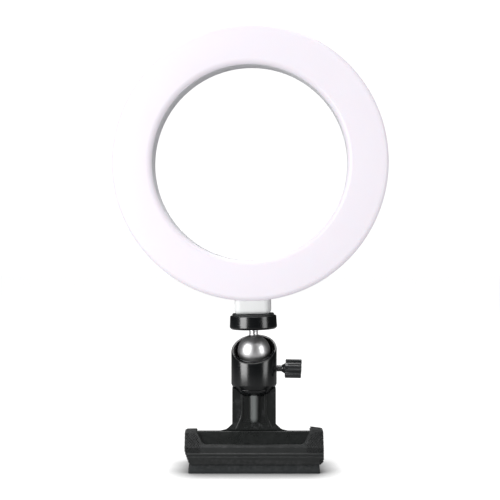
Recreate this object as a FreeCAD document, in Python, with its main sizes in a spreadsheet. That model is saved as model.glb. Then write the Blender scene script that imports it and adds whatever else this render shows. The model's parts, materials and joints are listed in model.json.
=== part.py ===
import FreeCAD, Part
import Sketcher
import math
import os
import re

# Clip-on ring light: a ring lamp on a small ball head, which stands on a wide spring clamp.
# Millimetres. +Z is up, the lamp faces -Y, +X is to its right as seen from the front.
# The origin is on the foot's face, on the ball head's axis.

doc = FreeCAD.newDocument("RingLight")
sheet = doc.addObject("Spreadsheet::Sheet", "Sizes")

sizes = {
    # attitude of the head and of the ball housing, in degrees
    "HeadYaw": -4.0,
    "HeadLean": -1.3,
    "HousingYaw": -8.0,
    "BallHeight": 68.0,
    # ring
    "RingRise": 109.4,
    "RingRadius": 80.0,
    "HoleRadius": 56.7,
    "RingHalf": 9.5,
    "RingWall": 2.0,
    "SplitDepth": 5.5,
    "LipDepth": 2.5,
    "LipWall": 1.7,
    "BoardInner": 60.6,
    "BoardOuter": 76.0,
    "BoardFront": 2.0,
    "BoardThick": 1.2,
    "StandoffRadius": 2.6,
    "StandoffCircle": 68.35,
    "CoolCircle": 72.6,
    "WarmCircle": 64.1,
    "LedLong": 3.5,
    "LedShort": 2.8,
    "LedHigh": 0.8,
    "GrommetCircle": 68.0,
    # neck between the ring and the ball head
    "NeckHalfWidth": 10.5,
    "NeckHalfDepth": 7.0,
    "NeckBottom": 21.6,
    "TongueHalfWidth": 7.5,
    "TongueTop": 32.9,
    "NeckScrewRise": 31.2,
    "NeckScrewSide": 5.9,
    "InsertRadius": 4.4,
    "StudBore": 3.175,
    "InsertTop": 29.1,
    # ball head
    "BallRadius": 9.5,
    "StemRadius": 2.5,
    "StemTop": 18.0,
    "PlatformRadius": 13.8,
    "PlatformBottom": 13.0,
    "PlatformTop": 20.7,
    "StudRadius": 3.1,
    "StudTop": 28.6,
    "PadRadius": 12.2,
    "HousingRadius": 13.25,
    "HousingBore": 11.0,
    "HousingBottom": -21.3,
    "RimFront": -6.0,
    "RimBack": 8.7,
    "SeatRadius": 10.9,
    "KnobDrop": -9.9,
    "LockRadius": 1.95,
    "LockBore": 2.05,
    "WingStart": 18.3,
    "WingEnd": 27.6,
    "WingHalfSpan": 5.8,
    "WingHalfThick": 1.7,
    "WingTurn": 36.0,
    "PlugTop": -12.8,
    "PlugBottom": -25.4,
    # clamp
    "PostHalfWidth": 12.6,
    "PostFront": -6.5,
    "PostBack": 6.5,
    "PostTop": 46.8,
    "SeatPlane": 42.5,
    "WebWall": 2.4,
    "RibFront": -9.4,
    "JawHalfWidth": 36.5,
    "JawBottom": 5.2,
    "JawTop": 22.9,
    "FlareHalfWidth": 19.3,
    "FlareTop": 26.3,
    "RibHalfWidth": 3.0,
    "PlateTop": -8.8,
    "PlateBottom": -12.5,
    "CoreFront": -13.5,
    "GripHalfWidth": 39.0,
    "GripTop": 24.6,
    "PadHalfWidth": 37.5,
    "PadFront": -15.2,
    "MouthFront": 1.0,
    "MouthBack": 1.3,
    "RearJawTop": 19.2,
    "PivotBack": 10.0,
    "PivotHeight": 29.0,
    "EarRadius": 6.0,
    "PinRadius": 1.5,
    "PinHalfLength": 12.5,
    "FlangeWall": 2.4,
    "LeverEarOuter": 9.8,
    "LeverEarWall": 2.4,
    "HandleAngle": 52.0,
    "HandleStart": 7.6,
    "HandleEnd": 46.0,
    "HandleHalfWidth": 12.4,
    "HandleFace": 2.5,
    "HandleThick": 3.0,
    "CoilRadius": 3.6,
    "WireRadius": 0.7,
    "CoilLength": 12.0,
    "CoilTurns": 7.834,
}
for row, (alias, number) in enumerate(sizes.items(), start=1):
    sheet.set(f"A{row}", alias)
    sheet.set(f"B{row}", str(number))
    sheet.setAlias(f"B{row}", alias)
workings = doc.addObject("Spreadsheet::Sheet", "Workings")
doc.recompute()


def bound(expression):
    """The sheet's aliases in an expression, as other objects name them."""
    return re.sub(r"\b([A-Z]\w+)", r"Sizes.\1", str(expression))


def value(expression):
    """What the sheet makes of an expression, worked out in a cell of its own."""
    workings.set("A1", "=" + bound(expression))
    workings.recompute()
    return float(workings.get("A1"))


def placeOf(x=0.0, y=0.0, z=0.0, rotation=None):
    return FreeCAD.Placement(FreeCAD.Vector(x, y, z), rotation or FreeCAD.Rotation())


def turn(axis, angle):
    return FreeCAD.Rotation(FreeCAD.Vector(*axis), angle)


# the three frames that the pieces are made in
ballPlace = placeOf(z=value("BallHeight"))
housingPlace = ballPlace * placeOf(rotation=turn((0, 0, 1), value("HousingYaw")))
headPlace = (ballPlace * placeOf(rotation=turn((0, 1, 0), value("HeadLean")))
             * placeOf(rotation=turn((0, 0, 1), value("HeadYaw"))))
ringPlace = headPlace * placeOf(z=value("RingRise"))
clampPlace = placeOf()


# ---------------------------------------------------------------- sketch and feature helpers

def newBody(label, place):
    body = doc.addObject("PartDesign::Body", label)
    body.Label = label
    body.Placement = place
    return body


def origin(body, role):
    for feature in body.Origin.OriginFeatures:
        if feature.Role == role:
            return feature
    raise ValueError(role)


def outline(body, name, plane, corners):
    """A closed outline of lines and arcs on an origin plane of the body. A corner is (x, y), and
    (x, y, radius, bend) makes an arc of the edge that ends there, bending left (1) or right (-1)."""
    sketch = body.newObject("Sketcher::SketchObject", name)
    sketch.AttachmentSupport = [(origin(body, plane), "")]
    sketch.MapMode = "FlatFace"
    addLoop(sketch, corners, "a")
    return sketch


def addLoop(sketch, corners, tag):
    places = [FreeCAD.Vector(value(c[0]), value(c[1]), 0) for c in corners]
    first = sketch.GeometryCount
    count = len(corners)
    starts = []
    for i, corner in enumerate(corners):
        a, b = places[i - 1], places[i]
        if len(corner) == 2:
            sketch.addGeometry(Part.LineSegment(a, b), False)
            starts.append((1, 2))
            continue
        radius, bend = value(corner[2]), corner[3]
        half = (b - a).Length / 2
        normal = FreeCAD.Vector(-(b - a).y, (b - a).x, 0).normalize()
        centre = (a + b) / 2 + normal * (bend * math.sqrt(max(radius ** 2 - half ** 2, 0.0)))
        circle = Part.Circle(centre, FreeCAD.Vector(0, 0, 1), radius)
        ends = (a, b) if bend > 0 else (b, a)
        angles = [math.atan2((p - centre).y, (p - centre).x) for p in ends]
        sketch.addGeometry(Part.ArcOfCircle(circle, angles[0], angles[1]), False)
        starts.append((1, 2) if bend > 0 else (2, 1))
    for i in range(count):
        following = (i + 1) % count
        sketch.addConstraint(Sketcher.Constraint(
            "Coincident", first + i, starts[i][1], first + following, starts[following][0]))
    for i, corner in enumerate(corners):
        for kind, letter, expression in (("DistanceX", "x", corner[0]), ("DistanceY", "y", corner[1])):
            index = sketch.addConstraint(Sketcher.Constraint(
                kind, -1, 1, first + i, starts[i][1], value(expression)))
            sketch.renameConstraint(index, f"{tag}{letter}{i}")
            sketch.setExpression(f"Constraints.{tag}{letter}{i}", bound(expression))
        if len(corner) > 2:
            index = sketch.addConstraint(Sketcher.Constraint("Radius", first + i, value(corner[2])))
            sketch.renameConstraint(index, f"{tag}r{i}")
            sketch.setExpression(f"Constraints.{tag}r{i}", bound(corner[2]))


def addCircle(sketch, x, y, radius, tag):
    place = FreeCAD.Vector(value(x), value(y), 0)
    index = sketch.addGeometry(Part.Circle(place, FreeCAD.Vector(0, 0, 1), value(radius)), False)
    for kind, letter, expression in (("DistanceX", "x", x), ("DistanceY", "y", y)):
        number = sketch.addConstraint(Sketcher.Constraint(kind, -1, 1, index, 3, value(expression)))
        sketch.renameConstraint(number, f"{tag}{letter}")
        sketch.setExpression(f"Constraints.{tag}{letter}", bound(expression))
    number = sketch.addConstraint(Sketcher.Constraint("Radius", index, value(radius)))
    sketch.renameConstraint(number, f"{tag}r")
    sketch.setExpression(f"Constraints.{tag}r", bound(radius))


def circles(body, name, plane, places):
    """A sketch of circles, each (x, y, radius)."""
    sketch = body.newObject("Sketcher::SketchObject", name)
    sketch.AttachmentSupport = [(origin(body, plane), "")]
    sketch.MapMode = "FlatFace"
    for number, (x, y, radius) in enumerate(places):
        addCircle(sketch, x, y, radius, f"c{number}")
    return sketch


def spun(body, sketch, cut=False):
    """Turns a sketch about its own upright axis."""
    kind = "PartDesign::Groove" if cut else "PartDesign::Revolution"
    feature = body.newObject(kind, sketch.Name + ("Groove" if cut else "Turned"))
    feature.Profile = sketch
    feature.ReferenceAxis = (sketch, ["V_Axis"])
    feature.Angle = 360
    doc.recompute()
    return feature


def raised(body, sketch, start, end, cut=False):
    """Pads or pockets a sketch between two heights above its plane, both expressions."""
    sketch.setExpression("AttachmentOffset.Base.z", bound(start))
    feature = body.newObject("PartDesign::Pocket" if cut else "PartDesign::Pad",
                             sketch.Name + ("Cut" if cut else "Raised"))
    feature.Profile = sketch
    feature.setExpression("Length", bound(f"({end}) - ({start})"))
    if cut:
        feature.Reversed = True
    doc.recompute()
    return feature


def both(body, sketch, width, cut=False):
    """Pads or pockets a sketch by a width centred on its plane."""
    feature = body.newObject("PartDesign::Pocket" if cut else "PartDesign::Pad",
                             sketch.Name + ("Cut" if cut else "Raised"))
    feature.Profile = sketch
    feature.Midplane = True
    feature.setExpression("Length", bound(width))
    doc.recompute()
    return feature


def rounded(body, radius, test):
    """Fillets the edges of the body's tip that pass the test."""
    base = body.Tip
    names = [f"Edge{i}" for i, edge in enumerate(base.Shape.Edges, start=1) if test(edge)]
    fillet = body.newObject("PartDesign::Fillet", body.Name + "Fillet")
    fillet.Base = (base, names)
    fillet.Radius = radius
    doc.recompute()
    return fillet


def around(body, feature, count, axis="Y_Axis"):
    """Repeats a feature evenly about one of the body's axes."""
    pattern = body.newObject("PartDesign::PolarPattern", feature.Name + "Around")
    pattern.Originals = [feature]
    pattern.Axis = (origin(body, axis), [""])
    pattern.Angle = 360
    pattern.Occurrences = count
    body.Tip = pattern
    doc.recompute()
    return pattern


def box(x0, x1, y0, y1):
    return [(x0, y0), (x1, y0), (x1, y1), (x0, y1)]


# ---------------------------------------------------------------- ring

def ringBackShell():
    body = newBody("ring_back_shell", ringPlace)
    shell = outline(body, "shellProfile", "XY_Plane", [
        ("HoleRadius", "-SplitDepth"),
        ("HoleRadius + RingWall", "-SplitDepth"),
        ("HoleRadius + RingWall", "RingHalf - RingWall"),
        ("RingRadius - RingWall", "RingHalf - RingWall"),
        ("RingRadius - RingWall", "-SplitDepth"),
        ("RingRadius", "-SplitDepth"),
        ("RingRadius", "RingHalf - 3"),
        ("RingRadius - 3", "RingHalf", "3", 1),
        ("HoleRadius + 3", "RingHalf"),
        ("HoleRadius", "RingHalf - 3", "3", 1),
    ])
    spun(body, shell)
    # six standoffs that the board is screwed to
    standoff = circles(body, "standoff", "XZ_Plane", [("StandoffCircle", "0", "StandoffRadius")])
    post = raised(body, standoff, "-RingHalf + RingWall - 0.5", "-BoardFront - BoardThick")
    around(body, post, 6)
    # slot for the neck's tongue in the outer wall, holes for its screws and for the grommet
    slot = outline(body, "tongueSlot", "XZ_Plane", box(
        "-TongueHalfWidth - 0.1", "TongueHalfWidth + 0.1", "-RingRadius - 1", "-RingRadius + RingWall + 0.7"))
    raised(body, slot, "-RingHalf + RingWall", "2.1", cut=True)
    holes = circles(body, "screwHoles", "XZ_Plane", [
        ("-NeckScrewSide", "NeckScrewRise - RingRise", "1.15"),
        ("NeckScrewSide", "NeckScrewRise - RingRise", "1.15"),
        ("0", "-GrommetCircle", "2.85")])
    raised(body, holes, "-RingHalf - 1", "-RingHalf + RingWall + 1", cut=True)
    return body


def ringDiffuser():
    body = newBody("ring_diffuser", ringPlace)
    lip = "LipWall"
    cover = outline(body, "coverProfile", "XY_Plane", [
        ("HoleRadius", "-SplitDepth - 0.05"),
        ("HoleRadius", "-RingHalf + 3"),
        ("HoleRadius + 3", "-RingHalf", "3", 1),
        ("RingRadius - 3", "-RingHalf"),
        ("RingRadius", "-RingHalf + 3", "3", 1),
        ("RingRadius", "-SplitDepth - 0.05"),
        ("RingRadius - RingWall - 0.1", "-SplitDepth - 0.05"),
        ("RingRadius - RingWall - 0.1", "-SplitDepth + LipDepth"),
        (f"RingRadius - RingWall - 0.1 - {lip}", "-SplitDepth + LipDepth"),
        (f"RingRadius - RingWall - 0.1 - {lip}", "-RingHalf + RingWall"),
        (f"HoleRadius + RingWall + 0.1 + {lip}", "-RingHalf + RingWall"),
        (f"HoleRadius + RingWall + 0.1 + {lip}", "-SplitDepth + LipDepth"),
        ("HoleRadius + RingWall + 0.1", "-SplitDepth + LipDepth"),
        ("HoleRadius + RingWall + 0.1", "-SplitDepth - 0.05"),
    ])
    spun(body, cover)
    return body


def ledBoard():
    body = newBody("led_board", ringPlace)
    spun(body, outline(body, "boardProfile", "XY_Plane", box(
        "BoardInner", "BoardOuter", "BoardFront", "BoardFront + BoardThick")))
    hole = circles(body, "boardHole", "XZ_Plane", [("StandoffCircle", "0", "1.1")])
    around(body, raised(body, hole, "-BoardFront - BoardThick - 1", "-BoardFront + 1", cut=True), 6)
    return body


def leds(label, circle, count, shift):
    """One colour's row of light emitters, as separate solids on the board's front."""
    body = newBody(label, ringPlace * placeOf(rotation=turn((0, 1, 0), shift)))
    body.AllowCompound = True
    lamp = outline(body, label + "Lamp", "XZ_Plane", box(
        f"{circle} - LedLong / 2", f"{circle} + LedLong / 2", "-LedShort / 2", "LedShort / 2"))
    around(body, raised(body, lamp, "-BoardFront", "-BoardFront + LedHigh"), count)
    return body


def boardScrews():
    body = newBody("board_screws", ringPlace)
    body.AllowCompound = True
    head = circles(body, "boardScrewHead", "XZ_Plane", [("StandoffCircle", "0", "1.9")])
    around(body, raised(body, head, "-BoardFront", "-BoardFront + 1.2"), 6)
    return body


def neckBlock():
    body = newBody("neck_block", headPlace)
    block = outline(body, "neckSection", "XY_Plane", [
        ("NeckHalfWidth - 4", "-NeckHalfDepth"),
        ("NeckHalfWidth", "-NeckHalfDepth + 4", "4", 1),
        ("NeckHalfWidth", "NeckHalfDepth - 4"),
        ("NeckHalfWidth - 4", "NeckHalfDepth", "4", 1),
        ("-NeckHalfWidth + 4", "NeckHalfDepth"),
        ("-NeckHalfWidth", "NeckHalfDepth - 4", "4", 1),
        ("-NeckHalfWidth", "-NeckHalfDepth + 4"),
        ("-NeckHalfWidth + 4", "-NeckHalfDepth", "4", 1)])
    raised(body, block, "NeckBottom", "NeckBottom + 10")
    rounded(body, 2.4, lambda edge: edge.BoundBox.ZMax < value("NeckBottom") + 0.1)
    # the top is hollowed to the ring's outer radius
    hollow = circles(body, "ringSeat", "XZ_Plane", [("0", "RingRise", "RingRadius + 0.02")])
    both(body, hollow, "40", cut=True)
    tongue = outline(body, "tongue", "XY_Plane", box(
        "-TongueHalfWidth", "TongueHalfWidth", "-2", "RingHalf - RingWall - 0.05"))
    raised(body, tongue, "NeckBottom + 5", "TongueTop")
    bore = circles(body, "insertBore", "XY_Plane", [("0", "0", "InsertRadius + 0.02")])
    raised(body, bore, "NeckBottom - 1", "InsertTop + 0.3", cut=True)
    pilots = circles(body, "screwPilots", "XZ_Plane", [
        ("-NeckScrewSide", "NeckScrewRise", "1.0"), ("NeckScrewSide", "NeckScrewRise", "1.0")])
    raised(body, pilots, "-RingHalf", "-2", cut=True)
    return body


def neckScrews():
    """Two screws that hold the neck's tongue against the back shell."""
    body = newBody("neck_screws", headPlace)
    body.AllowCompound = True
    places = [("-NeckScrewSide", "NeckScrewRise"), ("NeckScrewSide", "NeckScrewRise")]
    shank = circles(body, "neckShank", "XZ_Plane", [(x, y, "0.98") for x, y in places])
    raised(body, shank, "-RingHalf - 0.2", "-2.4")
    head = circles(body, "neckHead", "XZ_Plane", [(x, y, "1.8") for x, y in places])
    raised(body, head, "-RingHalf - 1.3", "-RingHalf - 0.02")
    return body


def threadInsert():
    body = newBody("thread_insert", headPlace)
    spun(body, outline(body, "insertProfile", "XZ_Plane", [
        ("StudBore", "NeckBottom + 0.3"), ("InsertRadius - 0.5", "NeckBottom + 0.3"),
        ("InsertRadius", "NeckBottom + 0.8"), ("InsertRadius", "InsertTop"), ("StudBore", "InsertTop")]))
    return body


def cableGrommet():
    body = newBody("cable_grommet", ringPlace * placeOf(z=-value("GrommetCircle")))
    spun(body, outline(body, "grommetProfile", "XY_Plane", [
        ("1.8", "RingHalf - RingWall - 1.2"), ("4", "RingHalf - RingWall - 1.2"),
        ("4", "RingHalf - RingWall - 0.02"), ("2.8", "RingHalf - RingWall - 0.02"),
        ("2.8", "RingHalf + 0.02"), ("4.4", "RingHalf + 0.02"),
        ("3.9", "RingHalf + 1.2"), ("2.6", "RingHalf + 2.4"), ("1.8", "RingHalf + 2.4")]))
    return body


def leadSocket():
    """The plug-in header behind the board, beside the lead's way in."""
    body = newBody("lead_socket", ringPlace)
    block = outline(body, "socketBlock", "XZ_Plane", box("-3.5", "3.5", "-66.5", "-62"))
    raised(body, block, "-BoardFront - BoardThick - 2.8", "-BoardFront - BoardThick")
    pocket = outline(body, "socketMouth", "XZ_Plane", box("-2.7", "2.7", "-65.7", "-62.8"))
    raised(body, pocket, "-BoardFront - BoardThick - 3", "-BoardFront - BoardThick - 0.8", cut=True)
    return body


# ---------------------------------------------------------------- ball head

def ballStud():
    body = newBody("ball_stud", headPlace)
    spun(body, outline(body, "ballProfile", "XZ_Plane", [
        ("0", "StemTop"), ("0", "-BallRadius"),
        ("StemRadius", "sqrt(BallRadius ^ 2 - StemRadius ^ 2)", "BallRadius", 1),
        ("StemRadius", "StemTop")]))
    return body


def headPlatform():
    body = newBody("head_platform", headPlace)
    spun(body, outline(body, "platformProfile", "XZ_Plane", [
        ("StemRadius + 0.02", "PlatformBottom - 0.7"), ("2.9", "PlatformBottom - 0.7"),
        ("2.9", "PlatformBottom"), ("PlatformRadius - 1.1", "PlatformBottom"),
        ("PlatformRadius", "PlatformBottom + 0.9"), ("PlatformRadius - 0.3", "PlatformTop - 0.4"),
        ("PlatformRadius - 0.7", "PlatformTop"), ("StudRadius", "PlatformTop"),
        ("StudRadius", "StudTop - 0.5"), ("StudRadius - 0.5", "StudTop"),
        ("0", "StudTop"), ("0", "StemTop + 0.2"), ("StemRadius + 0.02", "StemTop + 0.2")]))
    return body


def platformPad():
    body = newBody("platform_pad", headPlace)
    spun(body, outline(body, "padProfile", "XZ_Plane", [
        ("StudRadius + 0.1", "PlatformTop + 0.02"), ("PadRadius", "PlatformTop + 0.02"),
        ("PadRadius - 0.4", "NeckBottom + 0.5"), ("PadRadius - 1.2", "NeckBottom + 0.5"),
        ("8.8", "NeckBottom - 0.35"), ("StudRadius + 0.1", "NeckBottom - 0.35")]))
    return body


def ballHousing():
    body = newBody("ball_housing", housingPlace)
    spun(body, outline(body, "housingProfile", "XZ_Plane", [
        ("HousingBore", "HousingBottom"), ("HousingRadius - 1.2", "HousingBottom"),
        ("HousingRadius", "HousingBottom + 2.3"), ("HousingRadius", "RimBack + 3"),
        ("HousingBore", "RimBack + 3")]))
    # the mouth is cut on a slant, low at the front
    mouth = outline(body, "slantedMouth", "YZ_Plane", [
        ("-HousingRadius - 2", "RimFront - 2 * (RimBack - RimFront) / (2 * HousingRadius)"),
        ("HousingRadius + 2", "RimBack + 2 * (RimBack - RimFront) / (2 * HousingRadius)"),
        ("HousingRadius + 2", "RimBack + 8"), ("-HousingRadius - 2", "RimBack + 8")])
    both(body, mouth, "4 * HousingRadius", cut=True)
    lock = circles(body, "lockHole", "YZ_Plane", [("0", "KnobDrop", "LockBore")])
    raised(body, lock, "5", "HousingRadius + 2", cut=True)
    return body


def basePlug():
    """The turned foot of the ball head, with the tripod thread in its underside."""
    body = newBody("base_plug", housingPlace)
    spun(body, outline(body, "plugProfile", "XZ_Plane", [
        ("StudBore", "PlugBottom"), ("8.2", "PlugBottom"),
        ("HousingRadius - 1.3", "HousingBottom - 0.05", "6.5", 1),
        ("HousingBore - 0.05", "HousingBottom - 0.05"), ("HousingBore - 0.05", "PlugTop"),
        ("0", "PlugTop"), ("0", "PlugTop - 2"), ("StudBore", "PlugTop - 2")]))
    return body


def lowerSeat():
    """The plastic cup that the ball sits in; its cone takes the lock plug's push."""
    body = newBody("lower_seat", housingPlace)
    cavity = "BallRadius + 0.1"
    spun(body, outline(body, "seatProfile", "XZ_Plane", [
        ("0", "PlugTop + 0.1"), ("5.6", "PlugTop + 0.1"), ("7", "PlugTop + 1.6"),
        ("SeatRadius", "PlugTop + 5.5"), ("SeatRadius", "PlugTop + 6.1"),
        (f"sqrt(({cavity}) ^ 2 - (PlugTop + 6.1) ^ 2)", "PlugTop + 6.1"),
        ("0", "-BallRadius - 0.1", cavity, -1)]))
    return body


def lockPlug():
    body = newBody("lock_plug", housingPlace * placeOf(z=value("KnobDrop"), rotation=turn((0, 1, 0), 90)))
    spun(body, outline(body, "lockPlugProfile", "XZ_Plane", [
        ("0", "8.9"), ("0.3", "8.9"), ("LockRadius", "10.55"), ("LockRadius", "12.4"), ("0", "12.4")]))
    return body


def lockScrew():
    body = newBody("lock_screw", housingPlace * placeOf(z=value("KnobDrop"), rotation=turn((0, 1, 0), 90)))
    spun(body, outline(body, "lockScrewProfile", "XZ_Plane", [
        ("0", "12.45"), ("LockRadius", "12.45"), ("LockRadius", "WingEnd - 2.5"), ("0", "WingEnd - 2.5")]))
    return body


def wingKnob():
    """A two-winged thumb knob with grooved faces, moulded round the end of the lock screw."""
    body = newBody("wing_knob", housingPlace * placeOf(z=value("KnobDrop"))
                   * placeOf(rotation=turn((1, 0, 0), -value("WingTurn"))))
    wings = outline(body, "wings", "YZ_Plane", box(
        "-WingHalfThick", "WingHalfThick", "-WingHalfSpan", "WingHalfSpan"))
    raised(body, wings, "WingStart", "WingEnd")
    hub = circles(body, "hub", "YZ_Plane", [("0", "0", "3.3")])
    raised(body, hub, "WingStart", "WingEnd - 0.4")
    collar = circles(body, "collar", "YZ_Plane", [("0", "0", "2.7")])
    raised(body, collar, "WingStart - 1.4", "WingStart")
    bore = circles(body, "screwBore", "YZ_Plane", [("0", "0", "LockRadius + 0.01")])
    raised(body, bore, "WingStart - 3", "WingEnd - 2.45", cut=True)
    return body


# ---------------------------------------------------------------- clamp

def clampFront():
    """Front half of the clamp: a wide jaw, an upright post and the flanges that hold the hinge pin."""
    body = newBody("clamp_front", clampPlace)
    jaw = outline(body, "jawProfile", "YZ_Plane", [
        ("CoreFront", "JawBottom"), ("-1.5", "JawBottom"), ("-1.5", "9.6"),
        ("-6.2", "15.5", "7", -1), ("PostFront + WebWall", "JawTop - 0.9", "14", -1),
        ("PlateTop", "JawTop"), ("PlateBottom", "JawBottom + 11")])
    both(body, jaw, "2 * JawHalfWidth")
    post = outline(body, "postFace", "XZ_Plane", [
        ("-FlareHalfWidth", "JawTop - 0.9", "14", -1), ("FlareHalfWidth", "JawTop - 0.9"),
        ("PostHalfWidth", "FlareTop", "14", -1), ("PostHalfWidth", "PostTop"),
        ("-PostHalfWidth", "PostTop"), ("-PostHalfWidth", "FlareTop")])
    raised(body, post, "-PostFront - WebWall", "-PostFront")
    # side flanges, one plate across that is then hollowed out
    flange = outline(body, "flangeSide", "YZ_Plane", [
        ("PostFront", "JawTop - 2"), ("PivotBack - EarRadius", "JawTop - 2"),
        ("PivotBack - EarRadius", "PivotHeight"),
        ("PivotBack", "PivotHeight + EarRadius"),
        ("PostBack", "PivotHeight + EarRadius + 3.4"), ("PostBack", "PostTop"), ("PostFront", "PostTop")])
    both(body, flange, "2 * PostHalfWidth")
    ear = circles(body, "ear", "YZ_Plane", [("PivotBack", "PivotHeight", "EarRadius")])
    both(body, ear, "2 * PostHalfWidth")
    # centre rib down the post's face, with a round lower end
    rib = outline(body, "rib", "XZ_Plane", [
        ("-RibHalfWidth", "FlareTop + 1"), ("RibHalfWidth", "FlareTop + 1", "RibHalfWidth + 0.05", 1),
        ("RibHalfWidth", "SeatPlane"), ("-RibHalfWidth", "SeatPlane")])
    raised(body, rib, "-PostFront - 1", "-RibFront")
    hollow = outline(body, "hollow", "YZ_Plane", [
        ("PostFront + WebWall", "JawTop - 6"), ("PivotBack + 12", "JawTop - 6"),
        ("PivotBack + 12", "SeatPlane - 3.6"), ("PostFront + WebWall", "SeatPlane - 3.6")])
    both(body, hollow, "2 * (PostHalfWidth - FlangeWall)", cut=True)
    above = outline(body, "aboveSeat", "YZ_Plane", box(
        "RibFront - 1", "PivotBack + 12", "PostTop", "PostTop + 5"))
    both(body, above, "4 * PostHalfWidth", cut=True)
    # the bowl that takes the ball head's foot, and the way through for its screw
    bowl = outline(body, "bowl", "XZ_Plane", [
        ("0", "SeatPlane"), ("8.3", "SeatPlane"),
        ("HousingRadius - 1.1", "BallHeight + HousingBottom", "6.5", 1),
        ("HousingRadius + 0.1", "PostTop + 1"), ("0", "PostTop + 1")])
    spun(body, bowl, cut=True)
    screwWay = circles(body, "screwWay", "XY_Plane", [("0", "0", "3.3")])
    raised(body, screwWay, "SeatPlane - 6", "SeatPlane + 1", cut=True)
    headWay = circles(body, "headWay", "XY_Plane", [("0", "0", "5.5")])
    raised(body, headWay, "SeatPlane - 9", "SeatPlane - 3.6", cut=True)
    pin = circles(body, "pinWay", "YZ_Plane", [("PivotBack", "PivotHeight", "PinRadius + 0.02")])
    both(body, pin, "3 * PostHalfWidth", cut=True)
    for side, start, end in (("Left", "-PostHalfWidth - 1", "-PostHalfWidth + 0.9"),
                             ("Right", "PostHalfWidth - 0.9", "PostHalfWidth + 1")):
        recess = circles(body, "clipRecess" + side, "YZ_Plane", [("PivotBack", "PivotHeight", "3.4")])
        raised(body, recess, start, end, cut=True)
    return body


def frontGrip():
    """A rubber bumper moulded in a U round the jaw's face and over its two ends."""
    body = newBody("front_grip", clampPlace)
    face = outline(body, "gripFace", "XZ_Plane", [
        ("GripHalfWidth", "GripTop - 0.8"), ("33.0", "GripTop"), ("27.8", "16.2"), ("-27.8", "16.2"),
        ("-33.2", "GripTop - 1.1"), ("-GripHalfWidth", "GripTop - 1.2"), ("-GripHalfWidth", "12.6"),
        ("-JawHalfWidth + 0.2", "JawBottom + 0.1", "16", 1),
        ("JawHalfWidth + 1.2", "JawBottom + 0.1"), ("GripHalfWidth", "JawBottom + 2.2")])
    raised(body, face, "3", "17")
    front = outline(body, "gripFront", "YZ_Plane", [
        ("-18", "JawBottom - 1"), ("-15.6", "JawBottom - 1"), ("-16.5", "9.8"), ("-16.1", "10.2"),
        ("-16.5", "11.4"), ("-15.9", "11.8"), ("-15.2", "16.2"), ("PlateTop - 2.6", "GripTop + 1"),
        ("-18", "GripTop + 1")])
    both(body, front, "4 * JawHalfWidth", cut=True)
    inside = outline(body, "gripInside", "YZ_Plane", [
        ("CoreFront - 0.15", "JawBottom - 1"), ("0", "JawBottom - 1"), ("0", "JawTop + 0.02"),
        ("PlateTop - 0.01", "JawTop + 0.02"), ("PlateBottom - 0.02", "JawBottom + 11")])
    both(body, inside, "2 * JawHalfWidth + 0.04", cut=True)
    return body


def frontPad():
    body = newBody("front_pad", clampPlace)
    both(body, outline(body, "frontSole", "YZ_Plane", [
        ("PadFront", "0"), ("MouthFront", "0"), ("MouthFront", "9.4"), ("-1.45", "10.2"),
        ("-1.45", "JawBottom - 0.05"), ("PadFront + 0.8", "JawBottom - 0.05")]), "2 * PadHalfWidth")
    return body


def rearPad():
    body = newBody("rear_pad", clampPlace)
    mirror = "(MouthFront + MouthBack)"
    both(body, outline(body, "rearSole", "YZ_Plane", [
        ("MouthBack", "0"), (f"{mirror} - PadFront", "0"), (f"{mirror} - PadFront - 0.8", "JawBottom - 0.05"),
        (f"{mirror} + 1.45", "JawBottom - 0.05"), (f"{mirror} + 1.45", "10.2"), ("MouthBack", "9.4")]),
        "2 * PadHalfWidth")
    return body


def rearLever():
    """Rear half of the clamp: the second jaw, the ears on the pin and the squeeze handle."""
    body = newBody("rear_lever", clampPlace)
    mirror = "(MouthFront + MouthBack)"
    jaw = outline(body, "rearJawProfile", "YZ_Plane", [
        (f"{mirror} + 1.5", "JawBottom"), (f"{mirror} + 13.6", "JawBottom"),
        (f"{mirror} + 12.9", "JawBottom + 11"), (f"{mirror} + 10.4", "RearJawTop"),
        ("PivotBack - 1.5", "RearJawTop"), (f"{mirror} + 6.2", "15.5", "14", -1),
        (f"{mirror} + 1.5", "9.6", "7", -1)])
    both(body, jaw, "2 * JawHalfWidth")
    along = ("sin(HandleAngle * 1 deg)", "cos(HandleAngle * 1 deg)")

    def onHandle(distance, offset):
        """A point at a distance along the handle and an offset towards its front."""
        return (f"PivotBack + ({distance}) * {along[0]} - ({offset}) * {along[1]}",
                f"PivotHeight + ({distance}) * {along[1]} + ({offset}) * {along[0]}")

    back = "(HandleFace - HandleThick)"
    ears = outline(body, "earPlate", "YZ_Plane", [
        ("PivotBack - 4.6", "RearJawTop - 3"), (f"{mirror} + 11", "RearJawTop - 3"),
        onHandle("4", "-5"), onHandle("HandleStart + 14", back), onHandle("HandleStart + 2", "HandleFace"),
        onHandle("0", "4.6"), ("PivotBack - 4.6", "PivotHeight")])
    both(body, ears, "2 * LeverEarOuter")
    handle = outline(body, "handle", "YZ_Plane", [
        onHandle("HandleStart", "HandleFace"), onHandle("HandleStart", back),
        onHandle("HandleEnd", back), onHandle("HandleEnd", "HandleFace")])
    both(body, handle, "2 * HandleHalfWidth")
    # everything between the ears is open for the spring
    gap = outline(body, "springGap", "YZ_Plane", [
        ("PivotBack - 9", "RearJawTop"), ("PivotBack + 14", "RearJawTop"),
        onHandle("HandleStart + 17", back), onHandle("HandleStart", back),
        onHandle("HandleStart", "HandleFace"), onHandle("HandleStart + 5", "HandleFace"),
        onHandle("HandleStart + 5", "8"), onHandle("0", "8")])
    both(body, gap, "2 * (LeverEarOuter - LeverEarWall)", cut=True)
    pin = circles(body, "leverPinWay", "YZ_Plane", [("PivotBack", "PivotHeight", "PinRadius + 0.06")])
    both(body, pin, "3 * PostHalfWidth", cut=True)
    return body


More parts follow.
